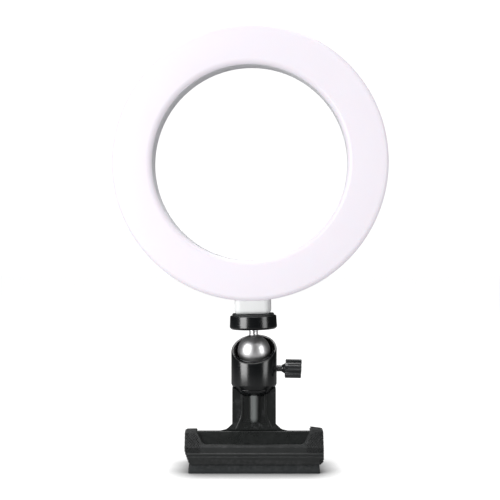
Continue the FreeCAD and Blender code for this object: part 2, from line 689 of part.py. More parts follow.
def handleGrip():
    """A ribbed rubber pad on the back of the squeeze handle."""
    angle = value("HandleAngle")
    place = placeOf(y=value("PivotBack"), z=value("PivotHeight"), rotation=turn((1, 0, 0), -angle))
    body = newBody("handle_grip", place)
    back = "-(HandleFace - HandleThick)"
    plate = outline(body, "gripPlate", "YZ_Plane", box(
        f"{back} + 0.02", f"{back} + 1.2", "HandleEnd - 22", "HandleEnd - 2"))
    both(body, plate, "2 * HandleHalfWidth - 4")
    rib = outline(body, "gripRib", "YZ_Plane", box(
        f"{back} + 1", f"{back} + 1.9", "HandleEnd - 21", "HandleEnd - 20"))
    first = both(body, rib, "2 * HandleHalfWidth - 5")
    row = body.newObject("PartDesign::LinearPattern", "gripRibs")
    row.Originals = [first]
    row.Direction = (origin(body, "Z_Axis"), [""])
    row.Length = 17
    row.Occurrences = 8
    body.Tip = row
    doc.recompute()
    return body


def hingePin():
    pin = doc.addObject("Part::Cylinder", "hinge_pin")
    pin.Label = "hinge_pin"
    pin.setExpression("Radius", bound("PinRadius"))
    pin.setExpression("Height", bound("2 * PinHalfLength"))
    pin.Placement = placeOf(-value("PinHalfLength"), value("PivotBack"), value("PivotHeight"),
                            turn((0, 1, 0), 90))
    return pin


def pinClips():
    """Two spring clips that sit in the recesses of the post's flanges."""
    body = newBody("pin_clips", placeOf(y=value("PivotBack"), z=value("PivotHeight")))
    body.AllowCompound = True
    for side, start, end in (("Left", "-PinHalfLength", "-PinHalfLength + 0.7"),
                             ("Right", "PinHalfLength - 0.7", "PinHalfLength")):
        clip = circles(body, "clip" + side, "YZ_Plane", [("0", "0", "3.1"), ("0", "0", "PinRadius + 0.01")])
        raised(body, clip, start, end)
    return body


def mountScrew():
    """The tripod screw that holds the ball head on the post, its head inside the post."""
    body = newBody("mount_screw", clampPlace)
    spun(body, outline(body, "mountScrewProfile", "XZ_Plane", [
        ("0", "SeatPlane - 7.6"), ("4.2", "SeatPlane - 7.6"), ("4.8", "SeatPlane - 7"),
        ("4.8", "SeatPlane - 4.7"), ("StudRadius", "SeatPlane - 4.7"),
        ("StudRadius", "SeatPlane + 8.3"), ("0", "SeatPlane + 8.3")]))
    slot = outline(body, "driverSlot", "XY_Plane", box("-0.6", "0.6", "-5", "5"))
    raised(body, slot, "SeatPlane - 8", "SeatPlane - 6.6", cut=True)
    return body


def mountWasher():
    body = newBody("mount_washer", clampPlace)
    spun(body, outline(body, "washerProfile", "XZ_Plane", box(
        "StudRadius + 0.1", "5.3", "SeatPlane - 4.68", "SeatPlane - 3.62")))
    return body


def torsionSpring():
    """A double-ended torsion spring round the pin: a helix and two straight legs."""
    toX = turn((1, 1, 1), 120)
    startAngle = 180 - value("HandleAngle")
    coil = doc.addObject("Part::Helix", "coilLine")
    coil.setExpression("Radius", bound("CoilRadius"))
    coil.setExpression("Height", bound("CoilLength"))
    coil.setExpression("Pitch", bound("CoilLength / CoilTurns"))
    coil.SegmentLength = 1
    wire = doc.addObject("Part::Circle", "wireSection")
    wire.setExpression("Radius", bound("WireRadius"))
    wire.Placement = placeOf(value("CoilRadius"), 0, 0, turn((1, 0, 0), 90))
    sweep = doc.addObject("Part::Sweep", "coil")
    sweep.Sections = [wire]
    sweep.Spine = (coil, [])
    sweep.Solid = True
    sweep.Frenet = True
    sweep.Placement = placeOf(rotation=turn((0, 0, 1), startAngle))
    legs = []
    endAngle = startAngle + 360 * value("CoilTurns")
    for name, angle, sign, height, length in (("legRear", startAngle, -1, 0.0, 16.0),
                                              ("legFront", endAngle, 1, value("CoilLength"), 14.0)):
        leg = doc.addObject("Part::Cylinder", name)
        leg.setExpression("Radius", bound("WireRadius"))
        leg.Height = length
        radians = math.radians(angle)
        direction = FreeCAD.Vector(-math.sin(radians) * sign, math.cos(radians) * sign, 0)
        start = FreeCAD.Vector(math.cos(radians), math.sin(radians), 0) * value("CoilRadius")
        start.z = height
        leg.Placement = FreeCAD.Placement(start, FreeCAD.Rotation(FreeCAD.Vector(0, 0, 1), direction))
        legs.append(leg)
    spring = doc.addObject("Part::MultiFuse", "torsion_spring")
    spring.Label = "torsion_spring"
    spring.Shapes = [sweep] + legs
    spring.Placement = placeOf(-value("CoilLength") / 2, value("PivotBack"), value("PivotHeight"), toX)
    doc.recompute()
    return spring


pieces = [
    ringBackShell(), ringDiffuser(), ledBoard(),
    leds("leds_cool", "CoolCircle", 36, 5.0), leds("leds_warm", "WarmCircle", 36, 0.0),
    boardScrews(), neckBlock(), neckScrews(), threadInsert(), cableGrommet(), leadSocket(),
    ballStud(), headPlatform(), platformPad(), ballHousing(), basePlug(), lowerSeat(),
    lockPlug(), lockScrew(), wingKnob(),
    clampFront(), frontGrip(), frontPad(), mountScrew(), mountWasher(),
    hingePin(), pinClips(), torsionSpring(), rearLever(), rearPad(), handleGrip(),
]
doc.recompute()

for item in doc.Objects:
    if "Invalid" in item.State or "Error" in item.State:
        raise RuntimeError(f"{item.Name} failed: {item.State}")
for piece in pieces:
    shape = piece.Shape
    if shape.isNull() or not shape.isValid() or not shape.Solids:
        raise RuntimeError(f"{piece.Label} has no sound solid")

os.makedirs("parts", exist_ok=True)
for piece in pieces:
    piece.Shape.exportStep(os.path.join("parts", piece.Label + ".step"))
    size = piece.Shape.BoundBox
    print(f"{piece.Label:18s} {len(piece.Shape.Solids):3d} solid(s) {piece.Shape.Volume:10.1f} mm3"
          f"  x {size.XMin:7.2f} {size.XMax:7.2f}  y {size.YMin:7.2f} {size.YMax:7.2f}"
          f"  z {size.ZMin:7.2f} {size.ZMax:7.2f}")
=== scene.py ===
import json
import math
import bpy
from mathutils import Matrix, Vector


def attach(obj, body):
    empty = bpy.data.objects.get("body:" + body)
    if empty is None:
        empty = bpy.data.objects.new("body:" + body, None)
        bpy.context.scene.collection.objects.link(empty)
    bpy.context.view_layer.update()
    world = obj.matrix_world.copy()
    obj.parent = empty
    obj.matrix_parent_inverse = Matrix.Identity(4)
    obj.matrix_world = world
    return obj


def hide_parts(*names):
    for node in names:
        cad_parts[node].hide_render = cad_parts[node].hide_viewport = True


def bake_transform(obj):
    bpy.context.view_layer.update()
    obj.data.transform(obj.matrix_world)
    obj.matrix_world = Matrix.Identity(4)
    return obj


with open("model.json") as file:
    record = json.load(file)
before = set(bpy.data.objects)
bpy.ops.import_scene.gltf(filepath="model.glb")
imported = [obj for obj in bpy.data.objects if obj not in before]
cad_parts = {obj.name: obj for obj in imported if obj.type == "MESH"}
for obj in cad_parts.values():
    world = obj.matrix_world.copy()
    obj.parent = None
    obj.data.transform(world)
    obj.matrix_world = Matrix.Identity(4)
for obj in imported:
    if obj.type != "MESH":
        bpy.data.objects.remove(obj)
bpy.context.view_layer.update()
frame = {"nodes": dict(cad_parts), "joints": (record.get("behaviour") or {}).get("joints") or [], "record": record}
mm = 0.001
mergeReach = 1e-6

# the frames that the pieces are made in, from the model's joints and mounts
joints = {joint["name"]: joint for joint in frame["joints"]}
mounts = {mount["name"]: mount for mount in frame["record"]["mounts"]}
studAxis = Vector(joints["ring_swivel"]["axis"]).normalized()
ringBack = Vector(mounts["lead_inlet"]["axis"]).normalized()
knobAxis = Vector(joints["ball_tilt"]["axis"]).normalized()
ballCentre = Vector(joints["ball_tilt"]["pos_m"])
pivot = Vector(joints["clamp_squeeze"]["pos_m"])
upward = Vector((0, 0, 1))


def placeFrom(origin, xAxis, yAxis, zAxis):
    place = Matrix((xAxis, yAxis, zAxis)).transposed().to_4x4()
    place.translation = origin
    return place


headPlace = placeFrom(ballCentre, ringBack.cross(studAxis), ringBack, studAxis)
ringPlace = placeFrom(Vector(joints["ring_swivel"]["pos_m"]), ringBack.cross(studAxis), ringBack, studAxis)
housingPlace = placeFrom(ballCentre, knobAxis, upward.cross(knobAxis), upward)
lockOrigin = Vector((0, 0, joints["lock_turn"]["pos_m"][2]))
lockPlace = placeFrom(lockOrigin, upward.cross(knobAxis), upward, knobAxis)
backward = Matrix.Rotation(math.radians(-90), 4, "X")     # turns a piece's own Z to the ring's back
clampPlace = Matrix.Identity(4)
ringRise = (Vector(joints["ring_swivel"]["pos_m"]) - ballCentre).length / mm
print("frame read,", len(frame["nodes"]), "nodes")


# modelling helpers

def clearSelection():
    if bpy.context.object and bpy.context.object.mode != "OBJECT":
        bpy.ops.object.mode_set(mode="OBJECT")
    bpy.ops.object.select_all(action="DESELECT")


def pick(piece):
    clearSelection()
    piece.select_set(True)
    bpy.context.view_layer.objects.active = piece


def roundCorners(corners, segments=6):
    # a corner (a, b, radius) becomes a short arc; (a, b) stays sharp
    points = []
    count = len(corners)
    for i, corner in enumerate(corners):
        here = Vector(corner[:2])
        if len(corner) == 2:
            points.append(here)
            continue
        before = (Vector(corners[i - 1][:2]) - here).normalized()
        after = (Vector(corners[(i + 1) % count][:2]) - here).normalized()
        half = before.angle(after) / 2
        reach = corner[2] / math.tan(half)
        centre = here + (before + after).normalized() * (corner[2] / math.sin(half))
        start, end = here + before * reach - centre, here + after * reach - centre
        sweep = start.angle_signed(end)
        for step in range(segments + 1):
            points.append(centre + Matrix.Rotation(-sweep * step / segments, 2) @ start)
    return points


def drawLine(name, points, closed):
    # one vertex, drawn on from point to point
    clearSelection()
    bpy.ops.mesh.primitive_plane_add(size=mm)
    piece = bpy.context.object
    piece.name = piece.data.name = name
    bpy.ops.object.mode_set(mode="EDIT")
    bpy.ops.mesh.select_mode(type="VERT")
    bpy.ops.mesh.select_all(action="SELECT")
    bpy.ops.mesh.merge(type="CENTER")
    bpy.ops.transform.translate(value=Vector(points[0]) * mm)
    path = points[1:] + points[:1] if closed else points[1:]
    here = Vector(points[0])
    for point in path:
        bpy.ops.mesh.extrude_region_move(TRANSFORM_OT_translate={"value": (Vector(point) - here) * mm})
        here = Vector(point)
    bpy.ops.mesh.select_all(action="SELECT")
    bpy.ops.mesh.remove_doubles(threshold=mergeReach)


def editAll():
    bpy.ops.object.mode_set(mode="EDIT")
    bpy.ops.mesh.select_all(action="SELECT")


def mended(piece):
    # merges doubles and turns every face outwards
    editAll()
    bpy.ops.mesh.remove_doubles(threshold=mergeReach)
    bpy.ops.mesh.normals_make_consistent(inside=False)
    bpy.ops.object.mode_set(mode="OBJECT")
    return piece


def turned(name, corners, steps=96, closed=False, segments=6):
    # (radius, height) outline spun about Z; an open one starts and ends on the axis
    outline = [(p[0], 0, p[1]) for p in roundCorners(corners, segments)]
    drawLine(name, outline, closed)
    bpy.ops.mesh.select_all(action="SELECT")
    bpy.ops.mesh.spin(steps=steps, angle=math.tau, center=(0, 0, 0), axis=(0, 0, 1))
    return mended(bpy.context.object)


def boxOutline(halfA, halfB, *radius):
    return [(a * halfA, b * halfB, *radius) for a, b in ((-1, -1), (1, -1), (1, 1), (-1, 1))]


def mirrored(corners):
    # one side's corners, then the same on the other side
    return corners + [(-a, *rest) for a, *rest in reversed(corners)]


def arcPoints(centre, radius, degrees):
    return [(centre[0] + radius * math.cos(math.radians(a)), centre[1] + radius * math.sin(math.radians(a)))
            for a in degrees]


planes = {"front": lambda a, b, depth: (a, depth, b),
          "side": lambda a, b, depth: (depth, a, b),
          "top": lambda a, b, depth: (a, b, depth)}


def prism(name, corners, plane, low, high, segments=6):
    lay = planes[plane]
    drawLine(name, [lay(p[0], p[1], low) for p in roundCorners(corners, segments)], closed=True)
    bpy.ops.mesh.edge_face_add()
    step = Vector(lay(0, 0, high - low)) * mm
    bpy.ops.mesh.extrude_region_move(TRANSFORM_OT_translate={"value": step})
    return mended(bpy.context.object)


def applied(piece, kind, **settings):
    pick(piece)
    modifier = piece.modifiers.new(kind.title(), kind)
    for key, setting in settings.items():
        setattr(modifier, key, setting)
    bpy.ops.object.modifier_apply(modifier=modifier.name)


def bevelled(piece, width, segments=3, angle=30):
    applied(piece, "BEVEL", width=width * mm, segments=segments, limit_method="ANGLE",
            angle_limit=math.radians(angle), miter_outer="MITER_ARC", use_clamp_overlap=True)


def combined(piece, tool, operation):
    applied(piece, "BOOLEAN", object=tool, operation=operation, solver="EXACT")
    bpy.data.objects.remove(tool)


def edgeBevel(piece, test, width, segments):
    # bevels the edges whose two ends pass the test, in the piece's own millimetres
    pick(piece)
    bpy.ops.object.mode_set(mode="EDIT")
    bpy.ops.mesh.select_mode(type="EDGE")
    bpy.ops.mesh.select_all(action="DESELECT")
    bpy.ops.object.mode_set(mode="OBJECT")
    for edge in piece.data.edges:
        edge.select = all(test(piece.data.vertices[i].co / mm) for i in edge.vertices)
    bpy.ops.object.mode_set(mode="EDIT")
    bpy.ops.mesh.bevel(offset=width * mm, segments=segments, affect="EDGES")
    bpy.ops.object.mode_set(mode="OBJECT")


def coat(piece, slotName):
    piece.data.materials.clear()
    piece.data.materials.append(finishes[slotName])


def finished(piece, place, body, slotName, nodes=(), smooth=35, even=False):
    # puts the piece in its place and hands it to its body
    pick(piece)
    piece.data.transform(place)
    bpy.ops.object.shade_smooth_by_angle(angle=math.radians(smooth))
    if even:
        # flat faces keep their own normals beside small bevels
        applied(piece, "WEIGHTED_NORMAL", keep_sharp=True, weight=90)
    coat(piece, slotName)
    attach(piece, body)
    if nodes:
        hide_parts(*nodes)


# shader groups and finishes

def newGroup(name, inputs, outputs):
    group = bpy.data.node_groups.new(name, "ShaderNodeTree")
    for label, kind, default in inputs:
        socket = group.interface.new_socket(name=label, in_out="INPUT", socket_type="NodeSocket" + kind)
        if default is not None:
            socket.default_value = default
    for label, kind in outputs:
        group.interface.new_socket(name=label, in_out="OUTPUT", socket_type="NodeSocket" + kind)
    return group, group.nodes.new("NodeGroupInput"), group.nodes.new("NodeGroupOutput")


def feed(tree, node, wires):
    # wires: (input, source socket or plain value)
    for socket, source in wires:
        if isinstance(source, bpy.types.NodeSocket):
            tree.links.new(source, node.inputs[socket])
        else:
            node.inputs[socket].default_value = source


def addNode(tree, kind, wires=(), **settings):
    node = tree.nodes.new("ShaderNode" + kind)
    for key, setting in settings.items():
        setattr(node, key, setting)
    feed(tree, node, wires)
    return node


def times(tree, first, second, **settings):
    return addNode(tree, "Math", [(0, first), (1, second)], operation="MULTIPLY", **settings).outputs[0]


def newMaterial(name):
    material = bpy.data.materials.new(name)
    material.use_nodes = True
    return material, material.node_tree, material.node_tree.nodes["Principled BSDF"]


def readIn(tree, spot, place):
    # the surface point, read in a piece's own frame
    turn = addNode(tree, "Mapping", [
        ("Vector", spot.outputs["Object"]), ("Location", place.translation), ("Rotation", place.to_euler())],
        vector_type="TEXTURE")
    return turn.outputs["Vector"]


# where most of a noise's values lie
noiseSpread = [("From Min", 0.3), ("From Max", 0.7)]


def makeGrain():
    # fine moulded or blasted grain, with broad soft changes in gloss
    group, given, out = newGroup("surfaceGrain", [
        ("Vector", "Vector", None), ("Grain", "Float", 2500.0),
        ("Low Roughness", "Float", 0.3), ("High Roughness", "Float", 0.45)],
        [("Height", "Float"), ("Roughness", "Float"), ("Mottle", "Float")])
    fine = addNode(group, "TexNoise", [("Vector", given.outputs["Vector"]),
                   ("Scale", given.outputs["Grain"]), ("Detail", 3.0), ("Roughness", 0.6)])
    broad = addNode(group, "TexNoise", [("Vector", given.outputs["Vector"]),
                    ("Scale", 55.0), ("Detail", 4.0), ("Roughness", 0.65)])
    mottle = addNode(group, "MapRange", noiseSpread + [("Value", broad.outputs["Fac"])])
    rough = addNode(group, "MapRange", noiseSpread + [
        ("Value", broad.outputs["Fac"]), ("To Min", given.outputs["Low Roughness"]),
        ("To Max", given.outputs["High Roughness"])])
    feed(group, out, [("Height", fine.outputs["Fac"]), ("Roughness", rough.outputs["Result"]),
                      ("Mottle", mottle.outputs["Result"])])
    return group


def makeWear():
    # handling wear along sharp edges, broken up by noise
    group, given, out = newGroup("edgeWear", [
        ("Vector", "Vector", None), ("Colour", "Color", (0.1, 0.1, 0.1, 1)),
        ("Worn Colour", "Color", (0.3, 0.3, 0.3, 1)), ("Amount", "Float", 0.5)],
        [("Colour", "Color")])
    shape = addNode(group, "NewGeometry")
    edge = addNode(group, "MapRange", [("Value", shape.outputs["Pointiness"]), ("From Min", 0.52),
                   ("From Max", 0.62)])
    patch = addNode(group, "TexNoise", [("Vector", given.outputs["Vector"]), ("Scale", 420.0),
                    ("Detail", 5.0), ("Roughness", 0.7)])
    broken = addNode(group, "MapRange", [("Value", patch.outputs["Fac"]), ("From Min", 0.42),
                     ("From Max", 0.68)])
    both = times(group, edge.outputs["Result"], broken.outputs["Result"])
    mask = times(group, both, given.outputs["Amount"], use_clamp=True)
    mix = addNode(group, "Mix", [("Factor", mask), ("A", given.outputs["Colour"]),
                  ("B", given.outputs["Worn Colour"])], data_type="RGBA")
    feed(group, out, [("Colour", mix.outputs["Result"])])
    return group


def makeLathe():
    # concentric tool marks round a piece's own Z
    group, given, out = newGroup("latheMarks", [
        ("Vector", "Vector", None), ("Pitch", "Float", 3000.0),
        ("Low Roughness", "Float", 0.2), ("High Roughness", "Float", 0.35)],
        [("Height", "Float"), ("Roughness", "Float")])
    apart = addNode(group, "SeparateXYZ", [("Vector", given.outputs["Vector"])])
    level = times(group, apart.outputs["Z"], given.outputs["Pitch"])
    fine = addNode(group, "TexNoise", [("W", level), ("Scale", 1.0), ("Detail", 3.0)],
                   noise_dimensions="1D")
    rough = addNode(group, "MapRange", noiseSpread + [
        ("Value", fine.outputs["Fac"]), ("To Min", given.outputs["Low Roughness"]),
        ("To Max", given.outputs["High Roughness"])])
    feed(group, out, [("Height", fine.outputs["Fac"]), ("Roughness", rough.outputs["Result"])])
    return group


grainGroup, wearGroup, latheGroup = makeGrain(), makeWear(), makeLathe()

# finish recipes: colours are linear, grain and lathe marks per metre; anything left out is as in plainLook
plainLook = dict(grain=2600, bump=0.05, mottle=0.1, wear=0.2, metal=0.0, specular=0.5)
bumpDistance = 0.0002
recipes = {
    "white_shell": dict(colour=(0.80, 0.80, 0.83), worn=(0.86, 0.86, 0.88), rough=(0.36, 0.46), grain=3200,
                        bump=0.06, mottle=0.03),
    "neck_white": dict(colour=(0.80, 0.81, 0.81), worn=(0.8, 0.8, 0.82), rough=(0.38, 0.5), grain=3200,
                       bump=0.06, mottle=0.03),
    "grommet_rubber": dict(colour=(0.58, 0.58, 0.60), worn=(0.66, 0.66, 0.68), rough=(0.6, 0.75), bump=0.1,
                           mottle=0.08),
    "board_white": dict(colour=(0.75, 0.77, 0.73), worn=(0.8, 0.8, 0.78), rough=(0.3, 0.4), grain=2000,
                        bump=0.03, mottle=0.04, wear=0.1),
    "led_cool": dict(colour=(0.9, 0.92, 0.95), worn=(0.95, 0.95, 0.95), rough=(0.15, 0.25), grain=4000,
                     bump=0.02, mottle=0.02, wear=0.0),
    "led_warm": dict(colour=(0.9, 0.68, 0.2), worn=(0.95, 0.8, 0.3), rough=(0.15, 0.25), grain=4000,
                     bump=0.02, mottle=0.05, wear=0.0),
    "steel": dict(colour=(0.52, 0.52, 0.53), worn=(0.7, 0.7, 0.7), rough=(0.22, 0.36), grain=2200, bump=0.04,
                  wear=0.6, metal=1.0),
    "spring_steel": dict(colour=(0.40, 0.40, 0.42), worn=(0.6, 0.6, 0.6), rough=(0.2, 0.34), mottle=0.12,
                         wear=0.5, metal=1.0),
    "blackened_steel": dict(colour=(0.26, 0.26, 0.265), worn=(0.6, 0.6, 0.6), rough=(0.22, 0.34), wear=1.0,
                            metal=1.0),
    "brass_insert": dict(colour=(0.62, 0.42, 0.16), worn=(0.8, 0.62, 0.3), rough=(0.25, 0.4), grain=2400,
                         bump=0.04, mottle=0.15, wear=0.5, metal=1.0),
    "socket_nylon": dict(colour=(0.7, 0.66, 0.55), worn=(0.8, 0.78, 0.7), rough=(0.4, 0.5), grain=2400,
                         mottle=0.05),
    "seat_acetal": dict(colour=(0.012, 0.012, 0.013), worn=(0.1, 0.1, 0.1), rough=(0.4, 0.5), grain=2400),
    "black_anodised": dict(colour=(0.0030, 0.0036, 0.0041), worn=(0.11, 0.115, 0.12), rough=(0.17, 0.23),
                           grain=5200, bump=0.035, mottle=0.25, wear=0.1, specular=0.7),
    "black_rubber": dict(colour=(0.010, 0.011, 0.0115), worn=(0.05, 0.05, 0.05), rough=(0.5, 0.62), bump=0.12,
                         mottle=0.2, wear=0.3),
    "knob_plastic": dict(colour=(0.010, 0.0112, 0.0118), worn=(0.1, 0.1, 0.1), rough=(0.2, 0.28), grain=3600,
                         bump=0.07, mottle=0.2, wear=0.5, specular=0.8),
    "clamp_plastic": dict(colour=(0.0070, 0.0082, 0.0078), worn=(0.07, 0.072, 0.075), rough=(0.25, 0.34),
                          grain=3400, bump=0.08, mottle=0.25, wear=0.5, specular=0.4,
                          # the clamp's middle rib carries a painted highlight, a paler colour laid over it
                          paintedHighlight=dict(colour=(0.17, 0.18, 0.178), across=(2.9, 0.0), depth=(-7.0, -8.2),
                                   height=(24.5, 31.0))),
    "bore_black": dict(colour=(0.002, 0.002, 0.002), worn=(0.01, 0.01, 0.01), rough=(0.6, 0.7), wear=0.1,
                       specular=0.15),
    "grip_rubber": dict(colour=(0.0125, 0.0138, 0.0138), worn=(0.06, 0.06, 0.062), rough=(0.42, 0.54),
                        grain=2800, bump=0.12, mottle=0.3, wear=0.5),
    "pad_rubber": dict(colour=(0.0135, 0.0160, 0.0168), worn=(0.06, 0.06, 0.062), rough=(0.40, 0.52),
                       grain=2800, bump=0.12, mottle=0.3, wear=0.5),
    "satin_ball": dict(colour=(0.85, 0.85, 0.86), worn=(0.95, 0.95, 0.95), rough=(0.35, 0.43), mottle=0.04,
                       metal=1.0, lathe=5200.0),
}


def paintedHighlightMask(tree, spot, paintedHighlight):
    # a painted highlight down the middle rib, pale along its middle and fading out at its sides and towards its
    # foot
    apart = addNode(tree, "SeparateXYZ", [("Vector", spot.outputs["Object"])])
    across = addNode(tree, "Math", [(0, apart.outputs["X"])], operation="ABSOLUTE")
    mask = 1.0
    for source, empty, full in ((across.outputs[0], *paintedHighlight["across"]), (apart.outputs["Y"], *paintedHighlight["depth"]),
                                (apart.outputs["Z"], *paintedHighlight["height"])):
        part = addNode(tree, "MapRange", [("Value", source), ("From Min", empty * mm),
                       ("From Max", full * mm)], interpolation_type="SMOOTHSTEP")
        mask = times(tree, mask, part.outputs["Result"])
    return mask


def makeFinish(name, recipe):
    look = {**plainLook, **recipe}
    material, tree, surface = newMaterial(name)
    spot = addNode(tree, "TexCoord")
    gloss = [("Low Roughness", look["rough"][0]), ("High Roughness", look["rough"][1])]
    grain = addNode(tree, "Group", gloss + [("Vector", spot.outputs["Object"]), ("Grain", look["grain"])],
                    node_tree=grainGroup)
    # broad mottling of the colour
    shade = [min(1, part * (1 + look["mottle"])) for part in look["colour"]]
    mottled = addNode(tree, "Mix", [("Factor", grain.outputs["Mottle"]), ("A", (*look["colour"], 1)),
                      ("B", (*shade, 1))], data_type="RGBA")
    colour = mottled.outputs["Result"]
    # the painted highlight on the middle rib is mixed over the colour
    if "paintedHighlight" in look:
        highlightMix = addNode(tree, "Mix", [("Factor", paintedHighlightMask(tree, spot, look["paintedHighlight"])), ("A", colour),
                         ("B", (*look["paintedHighlight"]["colour"], 1))], data_type="RGBA")
        colour = highlightMix.outputs["Result"]
    wear = addNode(tree, "Group", [
        ("Vector", spot.outputs["Object"]), ("Colour", colour), ("Worn Colour", (*look["worn"], 1)),
        ("Amount", look["wear"])], node_tree=wearGroup)
    relief = grain
    if "lathe" in look:
        relief = addNode(tree, "Group", gloss + [
            ("Vector", readIn(tree, spot, headPlace)), ("Pitch", look["lathe"])], node_tree=latheGroup)
    bump = addNode(tree, "Bump", [("Strength", look["bump"]), ("Distance", bumpDistance),
                   ("Height", relief.outputs["Height"])])
    feed(tree, surface, [
        ("Base Color", wear.outputs["Colour"]), ("Roughness", relief.outputs["Roughness"]),
        ("Normal", bump.outputs["Normal"]), ("Metallic", look["metal"]),
        ("Specular IOR Level", look["specular"])])
    return material


# middle is the radius midway between the diffuser's rims, and fade the span beside it where it dims
diffuserLook = dict(colour=(0.40, 0.38, 0.41), glow=(0.955, 0.905, 0.98), strength=0.54, edgeStrength=0.86,
                    middle=0.06835, fade=(0.0085, 0.0118), cloud=(0.985, 1.01), cloudScale=30.0,
                    rough=(0.34, 0.42), bump=(0.04, 0.0001), scatter=(0.2, 0.002))


def makeDiffuser():
    # milky acrylic lit from behind, a little dimmer towards its two rims
    look = diffuserLook
    material, tree, surface = newMaterial("milky_diffuser")
    spot = addNode(tree, "TexCoord")
    apart = addNode(tree, "SeparateXYZ", [("Vector", readIn(tree, spot, ringPlace))])
    flat = addNode(tree, "CombineXYZ", [("X", apart.outputs["X"]), ("Y", apart.outputs["Z"])])
    radius = addNode(tree, "VectorMath", [(0, flat.outputs["Vector"])], operation="LENGTH")
    middle = addNode(tree, "Math", [(0, radius.outputs["Value"]), (1, look["middle"])],
                     operation="SUBTRACT")
    away = addNode(tree, "Math", [(0, middle.outputs[0])], operation="ABSOLUTE")
    level = addNode(tree, "MapRange", [
        ("Value", away.outputs[0]), ("From Min", look["fade"][0]), ("From Max", look["fade"][1]),
        ("To Min", 1.0), ("To Max", look["edgeStrength"])], interpolation_type="SMOOTHSTEP")
    cloud = addNode(tree, "TexNoise", [("Vector", spot.outputs["Object"]),
                    ("Scale", look["cloudScale"]), ("Detail", 2.0)])
    soft = addNode(tree, "MapRange", [("Value", cloud.outputs["Fac"]), ("To Min", look["cloud"][0]),
                   ("To Max", look["cloud"][1])])
    product = times(tree, level.outputs["Result"], soft.outputs["Result"])
    glow = addNode(tree, "VectorMath", [(0, look["glow"]), ("Scale", product)], operation="SCALE")
    fine = addNode(tree, "Group", [
        ("Vector", spot.outputs["Object"]), ("Low Roughness", look["rough"][0]),
        ("High Roughness", look["rough"][1])], node_tree=grainGroup)
    bump = addNode(tree, "Bump", [("Strength", look["bump"][0]), ("Distance", look["bump"][1]),
                   ("Height", fine.outputs["Height"])])
    feed(tree, surface, [
        ("Emission Color", glow.outputs["Vector"]), ("Emission Strength", look["strength"]),
        ("Base Color", (*look["colour"], 1)), ("Subsurface Weight", look["scatter"][0]),
        ("Subsurface Scale", look["scatter"][1]), ("Roughness", fine.outputs["Roughness"]),
        ("Normal", bump.outputs["Normal"])])
    return material


finishes = {name: makeFinish(name, recipe) for name, recipe in recipes.items()}
finishes["milky_diffuser"] = makeDiffuser()
print("finishes made,", len(finishes))

# every CAD node gets its finish; the ones that new pieces stand for are hidden later
for part in frame["record"]["subparts"]:
    coat(frame["nodes"][part["node"]], part["material_slot"])


# the ring and its neck
ring = dict(radius=80.0, hole=56.7, front=-9.5, back=9.5, split=-5.5, gap=0.35, edge=3.0, wall=2.0,
            lip=1.2, lipDepth=1.0, slack=0.05, border=6.5, panel=6.9, panelSink=0.5, steps=192)


def ringSection(half):
    # corners given by their distance in from the rim, carried out at the hole and at the outside
    return ([(ring["hole"] + inset, *rest) for inset, *rest in half]
            + [(ring["radius"] - inset, *rest) for inset, *rest in reversed(half)])


def makeDiffuserCover():
    r = ring
    joint, under = r["split"] - r["gap"] / 2, r["front"] + r["wall"]
    cover = turned("diffuserCover", ringSection([
        (r["wall"], under), (r["wall"], joint), (r["slack"], joint, 0.2), (r["slack"], r["front"], r["edge"])]),
        steps=r["steps"], closed=True, segments=8)
    finished(cover, ringPlace @ backward, "ring", "milky_diffuser", ["ring_diffuser"])


def makeBackShell():
    r = ring
    joint, seat, panel = r["split"] + r["gap"] / 2, r["split"] - r["lipDepth"], r["back"] - r["panelSink"]
    shell = turned("backShell", ringSection([
        (r["panel"], panel, 0.3), (r["border"], r["back"], 0.4), (0, r["back"], r["edge"]), (0, joint, 0.2),
        (r["lip"], joint), (r["lip"], seat), (r["wall"], seat), (r["wall"], r["back"] - r["wall"])]),
        steps=r["steps"], closed=True)
    finished(shell, ringPlace @ backward, "ring", "white_shell", ["ring_back_shell"])


neck = dict(halfWidth=10.5, halfDepth=7.0, corner=4.0, bottom=21.6, top=30.6, round=2.4, sink=0.3)


def makeNeck():
    n = neck
    block = prism("neckBlock", boxOutline(n["halfWidth"], n["halfDepth"], n["corner"]), "top", n["bottom"],
                  n["top"], segments=8)
    edgeBevel(block, lambda p: p.z < n["bottom"] + 0.01, n["round"], 6)
    # its top is hollowed to follow the ring
    reach = ring["radius"] - n["sink"]
    rim = turned("rimTool", [(0, -20), (reach, -20), (reach, 20), (0, 20)], steps=256)
    rim.data.transform(Matrix.Translation((0, 0, ringRise * mm)) @ backward)
    combined(block, rim, "DIFFERENCE")
    finished(block, headPlace, "ring", "neck_white", ["neck_block"], smooth=40)


grommet = dict(bore=1.8, barb=3.9, waist=2.8, flange=4.4, neck=2.7, start=7.0, wall=1.9, face=9.52, rise=2.4,
               circle=68.0)


def makeGrommet():
    g = grommet
    inside, tip = g["face"] - g["wall"], g["face"] + g["rise"]
    sleeve = turned("cableGrommet", [
        (g["bore"], g["start"]), (g["barb"], g["start"]), (g["barb"], inside), (g["waist"], inside),
        (g["waist"], g["face"]), (g["flange"], g["face"], 0.15), (g["flange"] - 0.4, g["face"] + 1.2, 0.5),
        (g["neck"], g["face"] + 1.3, 0.4), (g["neck"] - 0.2, tip, 0.3), (g["bore"], tip, 0.3)],
        steps=64, closed=True, segments=4)
    inlet = Matrix.Translation((0, 0, -g["circle"] * mm))
    finished(sleeve, ringPlace @ inlet @ backward, "ring", "grommet_rubber", ["cable_grommet"])


def crossRecess(head, top, reach, width, depth):
    # a cross-headed driver recess sunk into a screw's head
    for half in ((reach, width), (width, reach)):
        combined(head, prism("recessTool", boxOutline(*half), "top", top - depth, top + 1), "DIFFERENCE")


neckScrew = dict(side=5.9, rise=31.2, head=1.85, rim=0.35, height=1.15, face=9.5, shank=0.95, length=6.0,
                 seat=0.02, recess=(1.0, 0.2, 0.75))


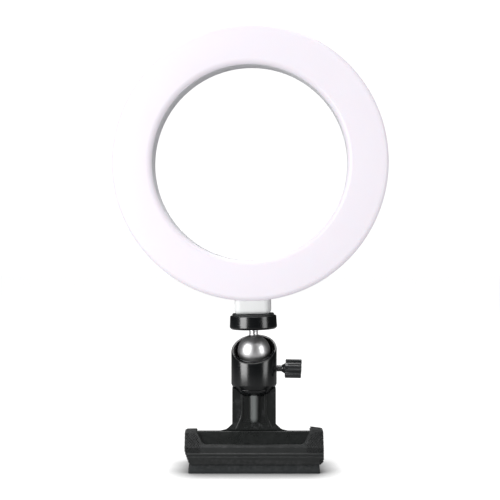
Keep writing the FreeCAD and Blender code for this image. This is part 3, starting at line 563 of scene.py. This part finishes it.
def makeNeckScrews():
    s = neckScrew
    seat, top = s["face"] + s["seat"], s["face"] + s["height"]
    for number, side in enumerate((-1, 1)):
        screw = turned("neckScrew" + str(number), [
            (0, s["face"] - s["length"]), (s["shank"], s["face"] - s["length"]), (s["shank"], seat),
            (s["head"], seat), (s["head"], s["face"] + s["rim"]),
            (s["head"] * 0.72, s["face"] + s["height"] * 0.9, 0.4), (0, top)], steps=40)
        crossRecess(screw, top, *s["recess"])
        spot = Matrix.Translation((side * s["side"] * mm, 0, s["rise"] * mm))
        finished(screw, headPlace @ spot @ backward, "ring", "steel", ["neck_screws"] if number == 0 else ())


# the ball head
platform = dict(radius=13.8, bottom=13.0, top=20.7, boss=2.9, stud=3.1, studTop=28.6)


def makePlatform():
    p = platform
    disc = turned("headPlatform", [
        (0, p["bottom"] - 0.7), (p["boss"], p["bottom"] - 0.7, 0.2), (p["boss"], p["bottom"]),
        (p["radius"] - 1.0, p["bottom"], 0.5), (p["radius"], p["bottom"] + 1.0, 0.7),
        (p["radius"] - 0.35, p["top"] - 0.2, 0.25), (p["radius"] - 0.75, p["top"] + 0.05, 0.25),
        (p["radius"] - 1.25, p["top"] - 0.35, 0.15), (p["stud"], p["top"] - 0.35),
        (p["stud"], p["studTop"] - 0.5), (p["stud"] - 0.5, p["studTop"]), (0, p["studTop"])],
        steps=128, segments=5)
    finished(disc, headPlace, "ball", "black_anodised", ["head_platform"])


padShape = dict(radius=12.2, bottom=20.4, dish=21.25, lip=22.15, bore=3.2, sag=0.75)


def makePlatformPad():
    p = padShape
    pad = turned("platformPad", [
        (p["bore"], p["bottom"]), (p["radius"] - 0.1, p["bottom"]), (p["radius"], p["lip"] - 0.5, 0.3),
        (p["radius"] - 0.5, p["lip"], 0.3), (p["radius"] - 1.4, p["lip"] - 0.1, 0.3),
        (8.6, p["dish"], 1.2), (p["bore"], p["dish"])], steps=128, closed=True)
    # the lip dips at its front and back, where the lamp's neck leaves it free
    pick(pad)
    for corner in pad.data.vertices:
        high = max(0.0, corner.co.z / mm - p["dish"])
        corner.co.z -= min(high, p["sag"]) * mm * (corner.co.y / mm / p["radius"]) ** 2
    finished(pad, headPlace, "ball", "black_rubber", ["platform_pad"])


ball = dict(radius=9.5, stem=2.5, stemTop=12.6, flat=2.95)


def makeBall():
    b = ball
    arc = arcPoints((0, 0), b["radius"], range(-90, 73, 3))
    top = math.sqrt(b["radius"] ** 2 - b["flat"] ** 2)
    outline = [(0, -b["radius"])] + arc[1:] + [
        (b["flat"], top), (b["stem"], top + 0.35, 0.3), (b["stem"], b["stemTop"]), (0, b["stemTop"])]
    body = turned("ballAndStem", outline, steps=128, segments=4)
    finished(body, headPlace, "ball", "satin_ball", ["ball_stud"], smooth=25)


housing = dict(radius=13.25, bore=11.0, bottom=-21.3, chamfer=1.2, rimFront=-6.0, rimBack=8.7, rim=0.75,
               lockBore=2.1, countersink=0.9, boreSkin=0.15)


def makeHousing():
    h = housing
    tube = turned("ballHousing", [
        (h["bore"], h["bottom"]), (h["radius"] - h["chamfer"], h["bottom"], 0.2),
        (h["radius"], h["bottom"] + 2.3, 0.8), (h["radius"], h["rimBack"] + 4),
        (h["bore"], h["rimBack"] + 4)], steps=160, closed=True)
    # the mouth is sliced on a slant and its wall closed again
    slope = (h["rimBack"] - h["rimFront"]) / (2 * h["radius"])
    middle = (h["rimBack"] + h["rimFront"]) / 2 * mm
    pick(tube)
    editAll()
    bpy.ops.mesh.bisect(plane_co=(0, 0, middle), plane_no=Vector((0, -slope, 1)).normalized(),
                        clear_outer=True)
    bpy.ops.mesh.bridge_edge_loops()
    bpy.ops.object.mode_set(mode="OBJECT")
    mended(tube)

    def onRim(p):
        return abs(p.z - middle / mm - slope * p.y) < 0.02
    edgeBevel(tube, onRim, h["rim"], 4)
    bore, mouth = h["lockBore"], h["lockBore"] + h["countersink"]
    drill = turned("lockDrill", [(0, 5), (bore, 5), (bore, 12.4), (mouth, 13.4), (mouth, 16), (0, 16)],
                   steps=48)
    drill.data.transform(housingPlace.inverted() @ lockPlace)
    combined(tube, drill, "DIFFERENCE")
    finished(tube, housingPlace, "clamp_base", "black_anodised", ["ball_housing"], smooth=30)
    # the bore's faces get a darker finish with little gloss
    tube.data.materials.append(finishes["bore_black"])
    for face in tube.data.polygons:
        across = (face.center - ballCentre) - (face.center - ballCentre).dot(upward) * upward
        if across.length < (h["bore"] + h["boreSkin"]) * mm and face.normal.dot(across) < 0:
            face.material_index = 1


foot = dict(top=-21.5, bottom=-25.4, flat=8.2, rim=11.85, bore=3.175)


def makeBasePlug():
    f = foot
    plug = turned("basePlug", [
        (0, -13), (10.9, -13), (10.9, -20.9), (f["rim"] - 0.5, f["top"] + 0.2), (f["rim"], f["top"], 0.15),
        (f["rim"] - 0.9, f["top"] - 1.7, 1.6), (f["flat"] + 0.5, f["bottom"] + 0.45, 1.2),
        (f["flat"] - 0.8, f["bottom"], 0.4), (f["bore"], f["bottom"]), (f["bore"], -15), (0, -15)],
        steps=128)
    finished(plug, housingPlace, "clamp_base", "black_anodised", ["base_plug"])


lockScrew = dict(start=12.45, threadEnd=17.6, end=25.0, crest=1.95, root=1.6, pitch=0.7)


def makeLockScrew():
    s = lockScrew
    thread = []
    rise = s["start"] + 0.2
    while rise < s["threadEnd"]:
        thread += [(s["root"], rise), (s["crest"], rise + s["pitch"] * 0.42),
                   (s["crest"], rise + s["pitch"] * 0.58)]
        rise += s["pitch"]
    shaft = turned("lockScrew", [(0, s["start"]), (s["root"], s["start"])] + thread
                   + [(s["root"], rise), (s["root"], s["end"]), (0, s["end"])], steps=64)
    finished(shaft, lockPlace, "lock_knob", "blackened_steel", ["lock_screw"], smooth=20)


knob = dict(start=18.3, end=27.6, halfSpan=5.8, halfThick=1.42, ridge=0.5, ridgePitch=2.3, hub=3.2, turn=36.0,
            collar=2.2, endRound=0.7, swell=0.75, swellReach=2.1, samples=56)


def makeWingKnob():
    k = knob
    # the wings' section: two ribbed faces that swell over the hub, with round ends
    face = []
    for step in range(k["samples"] + 1):
        along = -k["halfSpan"] + 2 * k["halfSpan"] * step / k["samples"]
        swell = (k["hub"] - k["halfThick"]) * math.exp(-(along / k["swellReach"]) ** 4) * k["swell"]
        ends = min(1.0, math.sqrt(max(0.0, (k["halfSpan"] - abs(along)) / k["endRound"])))
        ripple = k["ridge"] * math.cos(math.tau * along / k["ridgePitch"])
        face.append((along, (k["halfThick"] + swell + ripple) * (0.7 + 0.3 * ends)))
    outline = face + [(-a, -b) for a, b in face]
    wings = prism("wingKnob", outline, "top", k["start"], k["end"])
    bevelled(wings, 0.3, 3, 50)
    low, high = k["start"] - 1.9, k["start"] + 1.5
    collar = turned("collarTool", [
        (0, low), (k["collar"], low, 0.25), (k["collar"] + 0.2, k["start"] - 1.2, 0.8),
        (k["hub"], k["start"] + 0.15, 0.3), (k["hub"] - 0.3, high), (0, high)], steps=48)
    combined(wings, collar, "UNION")
    # the wings' span lies along the lock's own X; it is turned up and leaned back
    lean = Matrix.Rotation(math.radians(90 - k["turn"]), 4, "Z")
    finished(wings, lockPlace @ lean, "lock_knob", "knob_plastic", ["wing_knob"], smooth=40)


# the clamp
jaw = dict(half=36.5, bottom=5.2, top=22.9, plateTop=-8.8, plateBottom=-12.5, coreFront=-13.5, backDrop=0.9)
post = dict(half=12.6, front=-6.5, back=6.5, top=46.8, wall=2.4, seat=42.5, shelf=3.6, edge=0.4,
            flare=19.3, flareTop=26.3)
postRib = dict(half=3.0, low=26.9, front=-9.4, round=2.55)
ridge = dict(low=23.4, bend=31.0, high=44.5, inner=5.9, outer=7.6, spread=11.2, foot=2.6, front=-7.0,
             edge=0.48)
hinge = dict(centre=(10.0, 29.0), ear=6.0, recess=3.4)


def makeClampFront():
    j, p = jaw, post
    web = p["front"] + p["wall"]
    core = prism("clampFront", [
        (j["coreFront"], j["bottom"]), (-1.5, j["bottom"], 0.3), (-1.5, 9.6, 2.0), (-6.2, 15.5, 4.0),
        (web, j["top"] - j["backDrop"]), (j["plateTop"], j["top"], 0.5), (j["plateBottom"], 16.2, 3.0)],
        "side", -j["half"], j["half"])
    # side flanges that reach back to the hinge pin, hollow between
    ear = arcPoints(hinge["centre"], hinge["ear"], range(195, 451, 15))
    flanges = prism("flanges", [
        (p["front"], j["top"] - 2), (4.0, j["top"] - 2), (4.0, 29.0)] + ear + [
        (p["back"], 38.4, 2.0), (p["back"], p["top"]), (p["front"], p["top"])], "side", -p["half"], p["half"])
    ceiling, within = p["seat"] - p["shelf"], p["half"] - p["wall"]
    hollow = [(web, 15.0), (24.0, 15.0), (24.0, ceiling), (web, ceiling, 1.5)]
    combined(flanges, prism("hollow", hollow, "side", -within, within), "DIFFERENCE")
    edgeBevel(flanges, lambda v: v.y < p["front"] + 0.01 and abs(abs(v.x) - p["half"]) < 0.01,
              p["edge"], 4)
    combined(core, flanges, "UNION")
    # the post spreads into the jaw at its foot
    flare = prism("flare", mirrored([
        (p["flare"], j["top"] - 2.5), (p["flare"], j["top"] - 0.4), (p["flare"] - 3.4, j["top"] + 0.35, 4.0),
        (p["half"], p["flareTop"]), (p["half"] - 2.0, p["flareTop"] + 1.5)]), "front", p["front"] - 0.35, web)
    combined(core, flare, "UNION")
    # a pair of ridges that spread towards the foot
    g = ridge
    for side in (-1, 1):
        bar = prism("ridgeBar", [(side * x, *rest) for x, *rest in [
            (g["inner"], g["high"]), (g["inner"], g["bend"], 12.0), (g["spread"] - g["foot"], g["low"]),
            (g["spread"], g["low"]), (g["outer"], g["bend"], 12.0), (g["outer"], g["high"])]],
            "front", g["front"], web)
        edgeBevel(bar, lambda v: v.y < g["front"] + 0.01, g["edge"], 4)
        combined(core, bar, "UNION")
    # the half-round middle rib, closed by a round lower end
    r = postRib
    rib = prism("postRib", mirrored([(r["half"], 45.0), (r["half"], r["low"], r["half"] - 0.05)]), "front",
                r["front"], web + 1, segments=10)
    edgeBevel(rib, lambda v: v.y < r["front"] + 0.01, r["round"], 10)
    combined(core, rib, "UNION")
    above = [(-20, p["top"]), (20, p["top"]), (20, 60), (-20, 60)]
    combined(core, prism("aboveSeat", above, "front", -12, 12), "DIFFERENCE")
    bowl = turned("bowlTool", [
        (0, p["seat"]), (8.3, p["seat"], 0.5), (10.9, 44.6, 1.4), (12.05, 46.4), (13.4, p["top"] + 2),
        (0, p["top"] + 2)], steps=96)
    combined(core, bowl, "DIFFERENCE")
    screwWay = turned("screwWay", [(0, 30), (5.5, 30), (5.5, ceiling), (3.3, ceiling), (3.3, p["seat"] + 1),
                                   (0, p["seat"] + 1)], steps=48)
    combined(core, screwWay, "DIFFERENCE")
    recess = arcPoints(hinge["centre"], hinge["recess"], range(0, 360, 9))
    for side in (-1, 1):
        combined(core, prism("recess", recess, "side", side * 11.7, side * 13.5), "DIFFERENCE")
    bevelled(core, 0.28, 3, 36)
    finished(core, clampPlace, "clamp_base", "clamp_plastic", ["clamp_front"], smooth=40, even=True)


grip = dict(half=39.0, bottom=5.3, plate=16.2,
            left=dict(top=23.5, drop=0.1, innerTop=33.0, innerBottom=29.0, knee=12.6, toe=36.3,
                      kneeRound=9.0),
            right=dict(top=24.6, drop=0.8, innerTop=33.0, innerBottom=28.2, knee=7.5, toe=37.7,
                       kneeRound=1.5))


def gripEnd(end, side):
    g = grip
    upper = [(side * g["half"], end["top"] - end["drop"], 0.7), (side * end["innerTop"], end["top"], 0.6),
             (side * end["innerBottom"], g["plate"], 3.0)]
    lower = [(side * end["toe"], g["bottom"], 0.4), (side * g["half"], end["knee"], end["kneeRound"])]
    return lower + upper


def makeFrontGrip():
    outline = gripEnd(grip["right"], 1) + list(reversed(gripEnd(grip["left"], -1)))
    bumper = prism("frontGrip", outline, "front", -18.0, -3.0)
    # the face has two grooves along it, then leans back over the plate
    face = prism("gripFace", [
        (-2.0, 3.0), (-15.5, 3.0), (-15.7, 5.2, 0.4), (-16.5, 9.7, 0.35), (-16.0, 10.1, 0.2),
        (-16.45, 10.6, 0.3), (-16.4, 11.5, 0.3), (-15.85, 11.9, 0.2), (-15.75, 15.0, 1.0), (-15.0, 16.4, 0.8),
        (-11.6, 24.8, 0.6), (-10.8, 28.0), (-2.0, 28.0)], "side", -41, 41)
    combined(bumper, face, "INTERSECT")
    reach, roof = jaw["half"] + 0.02, jaw["top"] + 0.05
    inside = prism("gripInside", [
        (jaw["coreFront"] - 0.05, 4.0), (0, 4.0), (0, roof), (jaw["plateTop"] - 0.05, roof),
        (jaw["plateBottom"] - 0.05, grip["plate"])], "side", -reach, reach)
    combined(bumper, inside, "DIFFERENCE")
    bevelled(bumper, 0.22, 2, 40)
    return bumper


stud = dict(pitch=1.5, base=0.75, tip=0.12, height=0.6)


def addStuds(piece, spots, name):
    # small four-sided points of a diamond texture, one modelled and then set down on the surface
    clearSelection()
    bpy.ops.mesh.primitive_cone_add(vertices=4, radius1=stud["base"] * mm, radius2=stud["tip"] * mm,
                                    depth=stud["height"] * 2 * mm, location=(0, 0, 0))
    model = bpy.context.object
    copies = []
    for start, direction in spots:
        hit, place, normal, _ = piece.ray_cast(Vector(start) * mm, Vector(direction))
        if not hit or normal.dot(Vector(direction)) > -0.5:
            continue
        copy = bpy.data.objects.new(name, model.data.copy())
        bpy.context.scene.collection.objects.link(copy)
        lie = normal.to_track_quat("Z", "Y").to_matrix().to_4x4()
        lie.translation = place
        copy.data.transform(lie)
        copies.append(copy)
    bpy.data.objects.remove(model)
    pick(copies[0])
    for copy in copies:
        copy.select_set(True)
    bpy.ops.object.join()
    copies[0].name = copies[0].data.name = name
    return copies[0]


# the texture's rows start at low; it lies between edge and the plate, and on the sides behind sideFront
field = dict(rows=25, columns=8, low=6.4, edge=38.3, margin=1.6, spread=0.52, spreadFrom=17.0, topMargin=1.2,
             sideFront=-4.4, groove=(9.4, 12.4), underGroove=36.2)


def makeDiamondTexture(bumper):
    f, step = field, stud["pitch"]
    spots = []
    for side, end in ((-1, grip["left"]), (1, grip["right"])):
        for row in range(f["rows"]):
            height = f["low"] + row * step / 2
            shift = step / 2 if row % 2 else 0.0
            # the field widens towards the top, beside the plate, and leaves the grooves free
            inner = end["innerBottom"] + f["margin"] + f["spread"] * max(0.0, height - f["spreadFrom"])
            if height < f["groove"][1]:
                inner = f["underGroove"] if height < f["groove"][0] else f["edge"]
            for column in range(f["columns"]):
                across = f["edge"] - column * step - shift
                if across > inner and height < end["top"] - f["topMargin"]:
                    spots.append(((side * across, -25.0, height), (0, 1, 0)))
            for column in range(f["columns"]):
                spots.append(((side * 45.0, f["sideFront"] - column * step - shift, height), (-side, 0, 0)))
    return addStuds(bumper, spots, "gripTexture")


sole = dict(half=37.5, front=-15.2, mouth=1.0, bottom=0.0, top=5.1, lip=9.8, lipBack=-1.45, mirror=2.3,
            teeth=5, toothLow=1.0, toothPitch=1.75, toothDepth=0.35, draw=0.012, corner=1.8)


def makePad(name, opposite, body, node):
    s = sole
    flip = (lambda y: s["mirror"] - y) if opposite else (lambda y: y)
    crest, valley = flip(s["mouth"]), flip(s["mouth"] - s["toothDepth"])
    teeth = []
    for number in range(s["teeth"]):
        base = s["toothLow"] + number * s["toothPitch"]
        teeth += [(crest, base), (valley, base + 0.5), (valley, base + 0.9), (crest, base + 1.4)]
    corners = [(flip(s["front"]), s["bottom"] + 0.02, 0.5), (crest, s["bottom"], 0.3)] + teeth + [
        (flip(s["mouth"] - 0.1), s["lip"], 0.3), (flip(s["lipBack"]), s["lip"] + 0.4, 0.3),
        (flip(s["lipBack"]), s["top"]), (flip(s["front"] + 0.7), s["top"], 0.4)]
    pad = prism(name, corners, "side", -s["half"], s["half"], segments=3)
    # its ends draw in a little towards the top
    pick(pad)
    for corner in pad.data.vertices:
        corner.co.x *= 1 - s["draw"] * min(1.0, corner.co.z / mm / s["top"])
    # and its two outer corners are rounded
    front, back, end = flip(s["front"] - 0.05), flip(s["mouth"] + 0.2), s["half"] - 0.03
    rounding = prism("padEnds", [(-end, front, s["corner"]), (end, front, s["corner"]), (end, back),
                                 (-end, back)], "top", -1, 12)
    combined(pad, rounding, "INTERSECT")
    bevelled(pad, 0.4, 3, 60)
    finished(pad, clampPlace, body, "pad_rubber", [node], smooth=35, even=True)


handle = dict(angle=52.0, start=7.6, end=46.0, face=2.5, thick=3.0, half=12.4)


def handlePoint(along, offset, *radius):
    a = math.radians(handle["angle"])
    return (pivot.y / mm + along * math.sin(a) - offset * math.cos(a),
            pivot.z / mm + along * math.cos(a) + offset * math.sin(a), *radius)


def makeRearLever():
    h = handle
    back = h["face"] - h["thick"]
    core = prism("rearLever", [
        (3.8, 5.2, 0.3), (15.9, 5.2), (15.2, 16.2, 3.0), (12.9, 19.2, 1.0), (8.5, 19.2), (8.5, 15.5, 4.0),
        (3.8, 9.6, 2.0)], "side", -36.5, 36.5)
    ears = prism("ears", [
        (5.4, 16.2), (13.3, 16.2), handlePoint(4, -5, 3.0), handlePoint(h["start"] + 14, back),
        handlePoint(h["start"] + 2, h["face"]), handlePoint(0, 4.6, 3.0), (5.4, 29.0, 3.0)],
        "side", -9.8, 9.8)
    gap = prism("earGap", [(-2, 19.2), (26, 19.2), handlePoint(h["start"] + 17, back - 0.01),
                           handlePoint(h["start"] - 0.5, back - 0.01), handlePoint(h["start"] - 0.5, 9),
                           handlePoint(0, 9)], "side", -7.4, 7.4)
    combined(ears, gap, "DIFFERENCE")
    combined(core, ears, "UNION")
    plate = prism("handlePlate", [
        handlePoint(h["start"], h["face"], 0.6), handlePoint(h["start"], back, 0.6),
        handlePoint(h["end"] - 6, back, 8.0), handlePoint(h["end"], back - 1.6, 0.8),
        handlePoint(h["end"] + 0.4, h["face"] - 2.2, 0.8), handlePoint(h["end"] - 5, h["face"], 8.0)],
        "side", -h["half"], h["half"])
    combined(core, plate, "UNION")
    ribOutline = [handlePoint(h["start"] + 1, back - 2.2, 1.0), handlePoint(h["end"] - 24, back - 1.2),
                  handlePoint(h["end"] - 24, back + 0.5), handlePoint(h["start"] + 1, back + 0.5)]
    for side in (-1, 1):
        combined(core, prism("handleRib", ribOutline, "side", side * (h["half"] - 0.05),
                             side * (h["half"] - 2.0)), "UNION")
    bevelled(core, 0.3, 2, 38)
    finished(core, clampPlace, "squeeze_lever", "clamp_plastic", ["rear_lever"], smooth=40, even=True)


handleGrip = dict(half=10.4, start=24.0, end=44.0, thick=1.2, ribs=9, ribHeight=0.75)


def makeHandleGrip():
    g, back = handleGrip, handle["face"] - handle["thick"]
    low, high = back - g["thick"], back - g["thick"] - g["ribHeight"]
    # a ribbed outline run across the handle
    ribs = []
    pitch = (g["end"] - g["start"] - 2) / g["ribs"]
    for number in range(g["ribs"]):
        base = g["start"] + 1 + number * pitch
        ribs += [handlePoint(base, low, 0.15), handlePoint(base + pitch * 0.2, high, 0.2),
                 handlePoint(base + pitch * 0.6, high, 0.2), handlePoint(base + pitch * 0.8, low, 0.15)]
    outline = [handlePoint(g["start"], back + 0.02), handlePoint(g["start"], low, 0.4)] + ribs + [
        handlePoint(g["end"], low, 0.4), handlePoint(g["end"], back + 0.02)]
    pad = prism("handleGrip", outline, "side", -g["half"], g["half"], segments=3)
    bevelled(pad, 0.25, 2, 55)
    finished(pad, clampPlace, "squeeze_lever", "grip_rubber", ["handle_grip"], smooth=35)


coil = dict(radius=3.6, wire=0.7, length=12.0, turns=7.834, perTurn=32, legRear=16.0, legFront=14.0)


def makeSpring():
    c = coil
    first = 180.0 - handle["angle"]
    total = int(c["turns"] * c["perTurn"])

    def onCoil(part):
        a = math.radians(first + 360 * c["turns"] * part)
        along = c["length"] * part - c["length"] / 2
        return Vector((along, c["radius"] * math.cos(a), c["radius"] * math.sin(a)))

    def leg(angle, sign, length):
        a = math.radians(angle)
        return Vector((0, -math.sin(a), math.cos(a))) * sign * length
    points = [onCoil(step / total) for step in range(total + 1)]
    last = first + 360 * c["turns"]
    points = [points[0] + leg(first, -1, c["legRear"])] + points + [points[-1] + leg(last, 1, c["legFront"])]
    curve = bpy.data.curves.new("torsionSpring", "CURVE")
    curve.dimensions = "3D"
    curve.bevel_depth = c["wire"] * mm
    curve.bevel_resolution = 5
    curve.use_fill_caps = True
    line = curve.splines.new("POLY")
    line.points.add(len(points) - 1)
    for point, place in zip(line.points, points):
        point.co = (*(place * mm), 1)
    piece = bpy.data.objects.new("torsionSpring", curve)
    bpy.context.scene.collection.objects.link(piece)
    pick(piece)
    bpy.ops.object.convert(target="MESH")
    piece = bpy.context.object
    mended(piece)
    piece.data.transform(Matrix.Translation(pivot))
    bpy.ops.object.shade_smooth_by_angle(angle=math.radians(50))
    coat(piece, "spring_steel")
    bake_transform(piece)
    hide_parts("torsion_spring")


pin = dict(radius=1.5, half=12.45, clip=3.1, clipAt=11.75, clipThick=0.6, clipBore=1.52)


def makePinAndClips():
    acrossX = Matrix.Translation(pivot) @ Matrix.Rotation(math.radians(90), 4, "Y")
    rod = turned("hingePin", [(0, -pin["half"]), (pin["radius"], -pin["half"], 0.4),
                              (pin["radius"], pin["half"], 0.4), (0, pin["half"])], steps=40)
    finished(rod, acrossX, "clamp_base", "steel", ["hinge_pin"])
    for number, side in enumerate((-1, 1)):
        inner, outer = pin["clipAt"] * side, (pin["clipAt"] + pin["clipThick"]) * side
        clip = turned("pinClip" + str(number), [
            (pin["clipBore"], inner), (pin["clip"], inner, 0.1), (pin["clip"], outer, 0.15),
            (pin["clipBore"], outer)], steps=48, closed=True)
        mouth = prism("clipMouth", [(-0.9, 0.5), (0.9, 0.5), (1.5, 4.0), (-1.5, 4.0)], "top",
                      min(inner, outer) - 1, max(inner, outer) + 1)
        combined(clip, mouth, "DIFFERENCE")
        finished(clip, acrossX, "clamp_base", "spring_steel", ["pin_clips"] if number == 0 else ())


makeDiffuserCover()
makeBackShell()
makeNeck()
makeGrommet()
makeNeckScrews()
print("ring made")
makePlatform()
makePlatformPad()
makeBall()
makeHousing()
makeBasePlug()
makeLockScrew()
makeWingKnob()
print("ball head made")
makeClampFront()
bumper = makeFrontGrip()
studs = makeDiamondTexture(bumper)
finished(bumper, clampPlace, "clamp_base", "grip_rubber", ["front_grip"], smooth=40, even=True)
finished(studs, clampPlace, "clamp_base", "grip_rubber", smooth=20)
makePad("frontPad", False, "clamp_base", "front_pad")
makePad("rearPad", True, "squeeze_lever", "rear_pad")
makeRearLever()
makeHandleGrip()
makeSpring()
makePinAndClips()
print("clamp made")


# stage, light and camera
studio = dict(floorSize=8.0, white=0.28, glowNear=0.80, glowFar=0.99, ambient=0.035, backdrop=1.1,
              shadeReach=0.015, shadeDepth=3.0, glowSpan=(0.04, 0.24), aim=(0, 0, 0.085))


def makeStage():
    s = studio
    clearSelection()
    bpy.ops.mesh.primitive_plane_add(size=s["floorSize"])
    floor = bpy.context.object
    floor.name = floor.data.name = "floor"
    paper, tree, surface = newMaterial("paper")
    ray = addNode(tree, "LightPath")
    spot = addNode(tree, "TexCoord")
    # the paper glows less close to the object than far off, a painted shade round where it stands
    away = addNode(tree, "VectorMath", [(0, spot.outputs["Object"])], operation="LENGTH")
    bright = addNode(tree, "MapRange", [
        ("Value", away.outputs["Value"]), ("From Min", s["glowSpan"][0]), ("From Max", s["glowSpan"][1]),
        ("To Min", s["glowNear"]), ("To Max", s["glowFar"])])
    # the paper's glow fades where something stands close over it, which leaves a soft contact shadow
    near = addNode(tree, "AmbientOcclusion", [("Distance", s["shadeReach"])], samples=16)
    clear = addNode(tree, "Math", [(0, near.outputs["AO"]), (1, s["shadeDepth"])], operation="POWER")
    level = times(tree, clear.outputs[0], bright.outputs["Result"])
    glow = times(tree, ray.outputs["Is Camera Ray"], level)
    feed(tree, surface, [
        ("Base Color", (s["white"], s["white"], s["white"], 1)), ("Roughness", 0.9),
        ("Specular IOR Level", 0.1), ("Emission Color", (1, 1, 1, 1)), ("Emission Strength", glow)])
    floor.data.materials.append(paper)


lamps = {
    "leftStrip": dict(at=(-0.46, -0.38, 0.16), size=(0.36, 0.60), power=5.3),
    "rightStrip": dict(at=(0.52, -0.34, 0.16), size=(0.24, 0.60), power=1.8),
    "overhead": dict(at=(0.0, -0.20, 0.95), size=(0.8, 0.6), power=4.6),
    "behind": dict(at=(0.0, 0.50, 1.0), size=(0.6, 0.5), power=6.0),
}


def makeLights():
    aim = Vector(studio["aim"])
    for name, lamp in lamps.items():
        data = bpy.data.lights.new(name, "AREA")
        data.shape = "RECTANGLE"
        data.size, data.size_y = lamp["size"]
        data.energy = lamp["power"]
        light = bpy.data.objects.new(name, data)
        light.location = lamp["at"]
        light.rotation_euler = (aim - light.location).to_track_quat("-Z", "Y").to_euler()
        bpy.context.scene.collection.objects.link(light)
    world = bpy.data.worlds.new("studio")
    world.use_nodes = True
    tree = world.node_tree
    ray = addNode(tree, "LightPath")
    level = addNode(tree, "MapRange", [
        ("Value", ray.outputs["Is Camera Ray"]), ("To Min", studio["ambient"]),
        ("To Max", studio["backdrop"])])
    feed(tree, tree.nodes["Background"], [("Color", (1, 1, 1, 1)), ("Strength", level.outputs["Result"])])
    bpy.context.scene.world = world


view = dict(distance=0.540, height=0.1268, across=-0.00233, lens=66.7, sensor=36.0)


def makeCamera():
    data = bpy.data.cameras.new("camera")
    data.lens = view["lens"]
    data.sensor_width = view["sensor"]
    camera = bpy.data.objects.new("camera", data)
    camera.location = (view["across"], -view["distance"], view["height"])
    camera.rotation_euler = (math.radians(90), 0, 0)
    bpy.context.scene.collection.objects.link(camera)
    bpy.context.scene.camera = camera
    bpy.context.scene.view_settings.view_transform = "Standard"


makeStage()
makeLights()
makeCamera()
print("stage set")
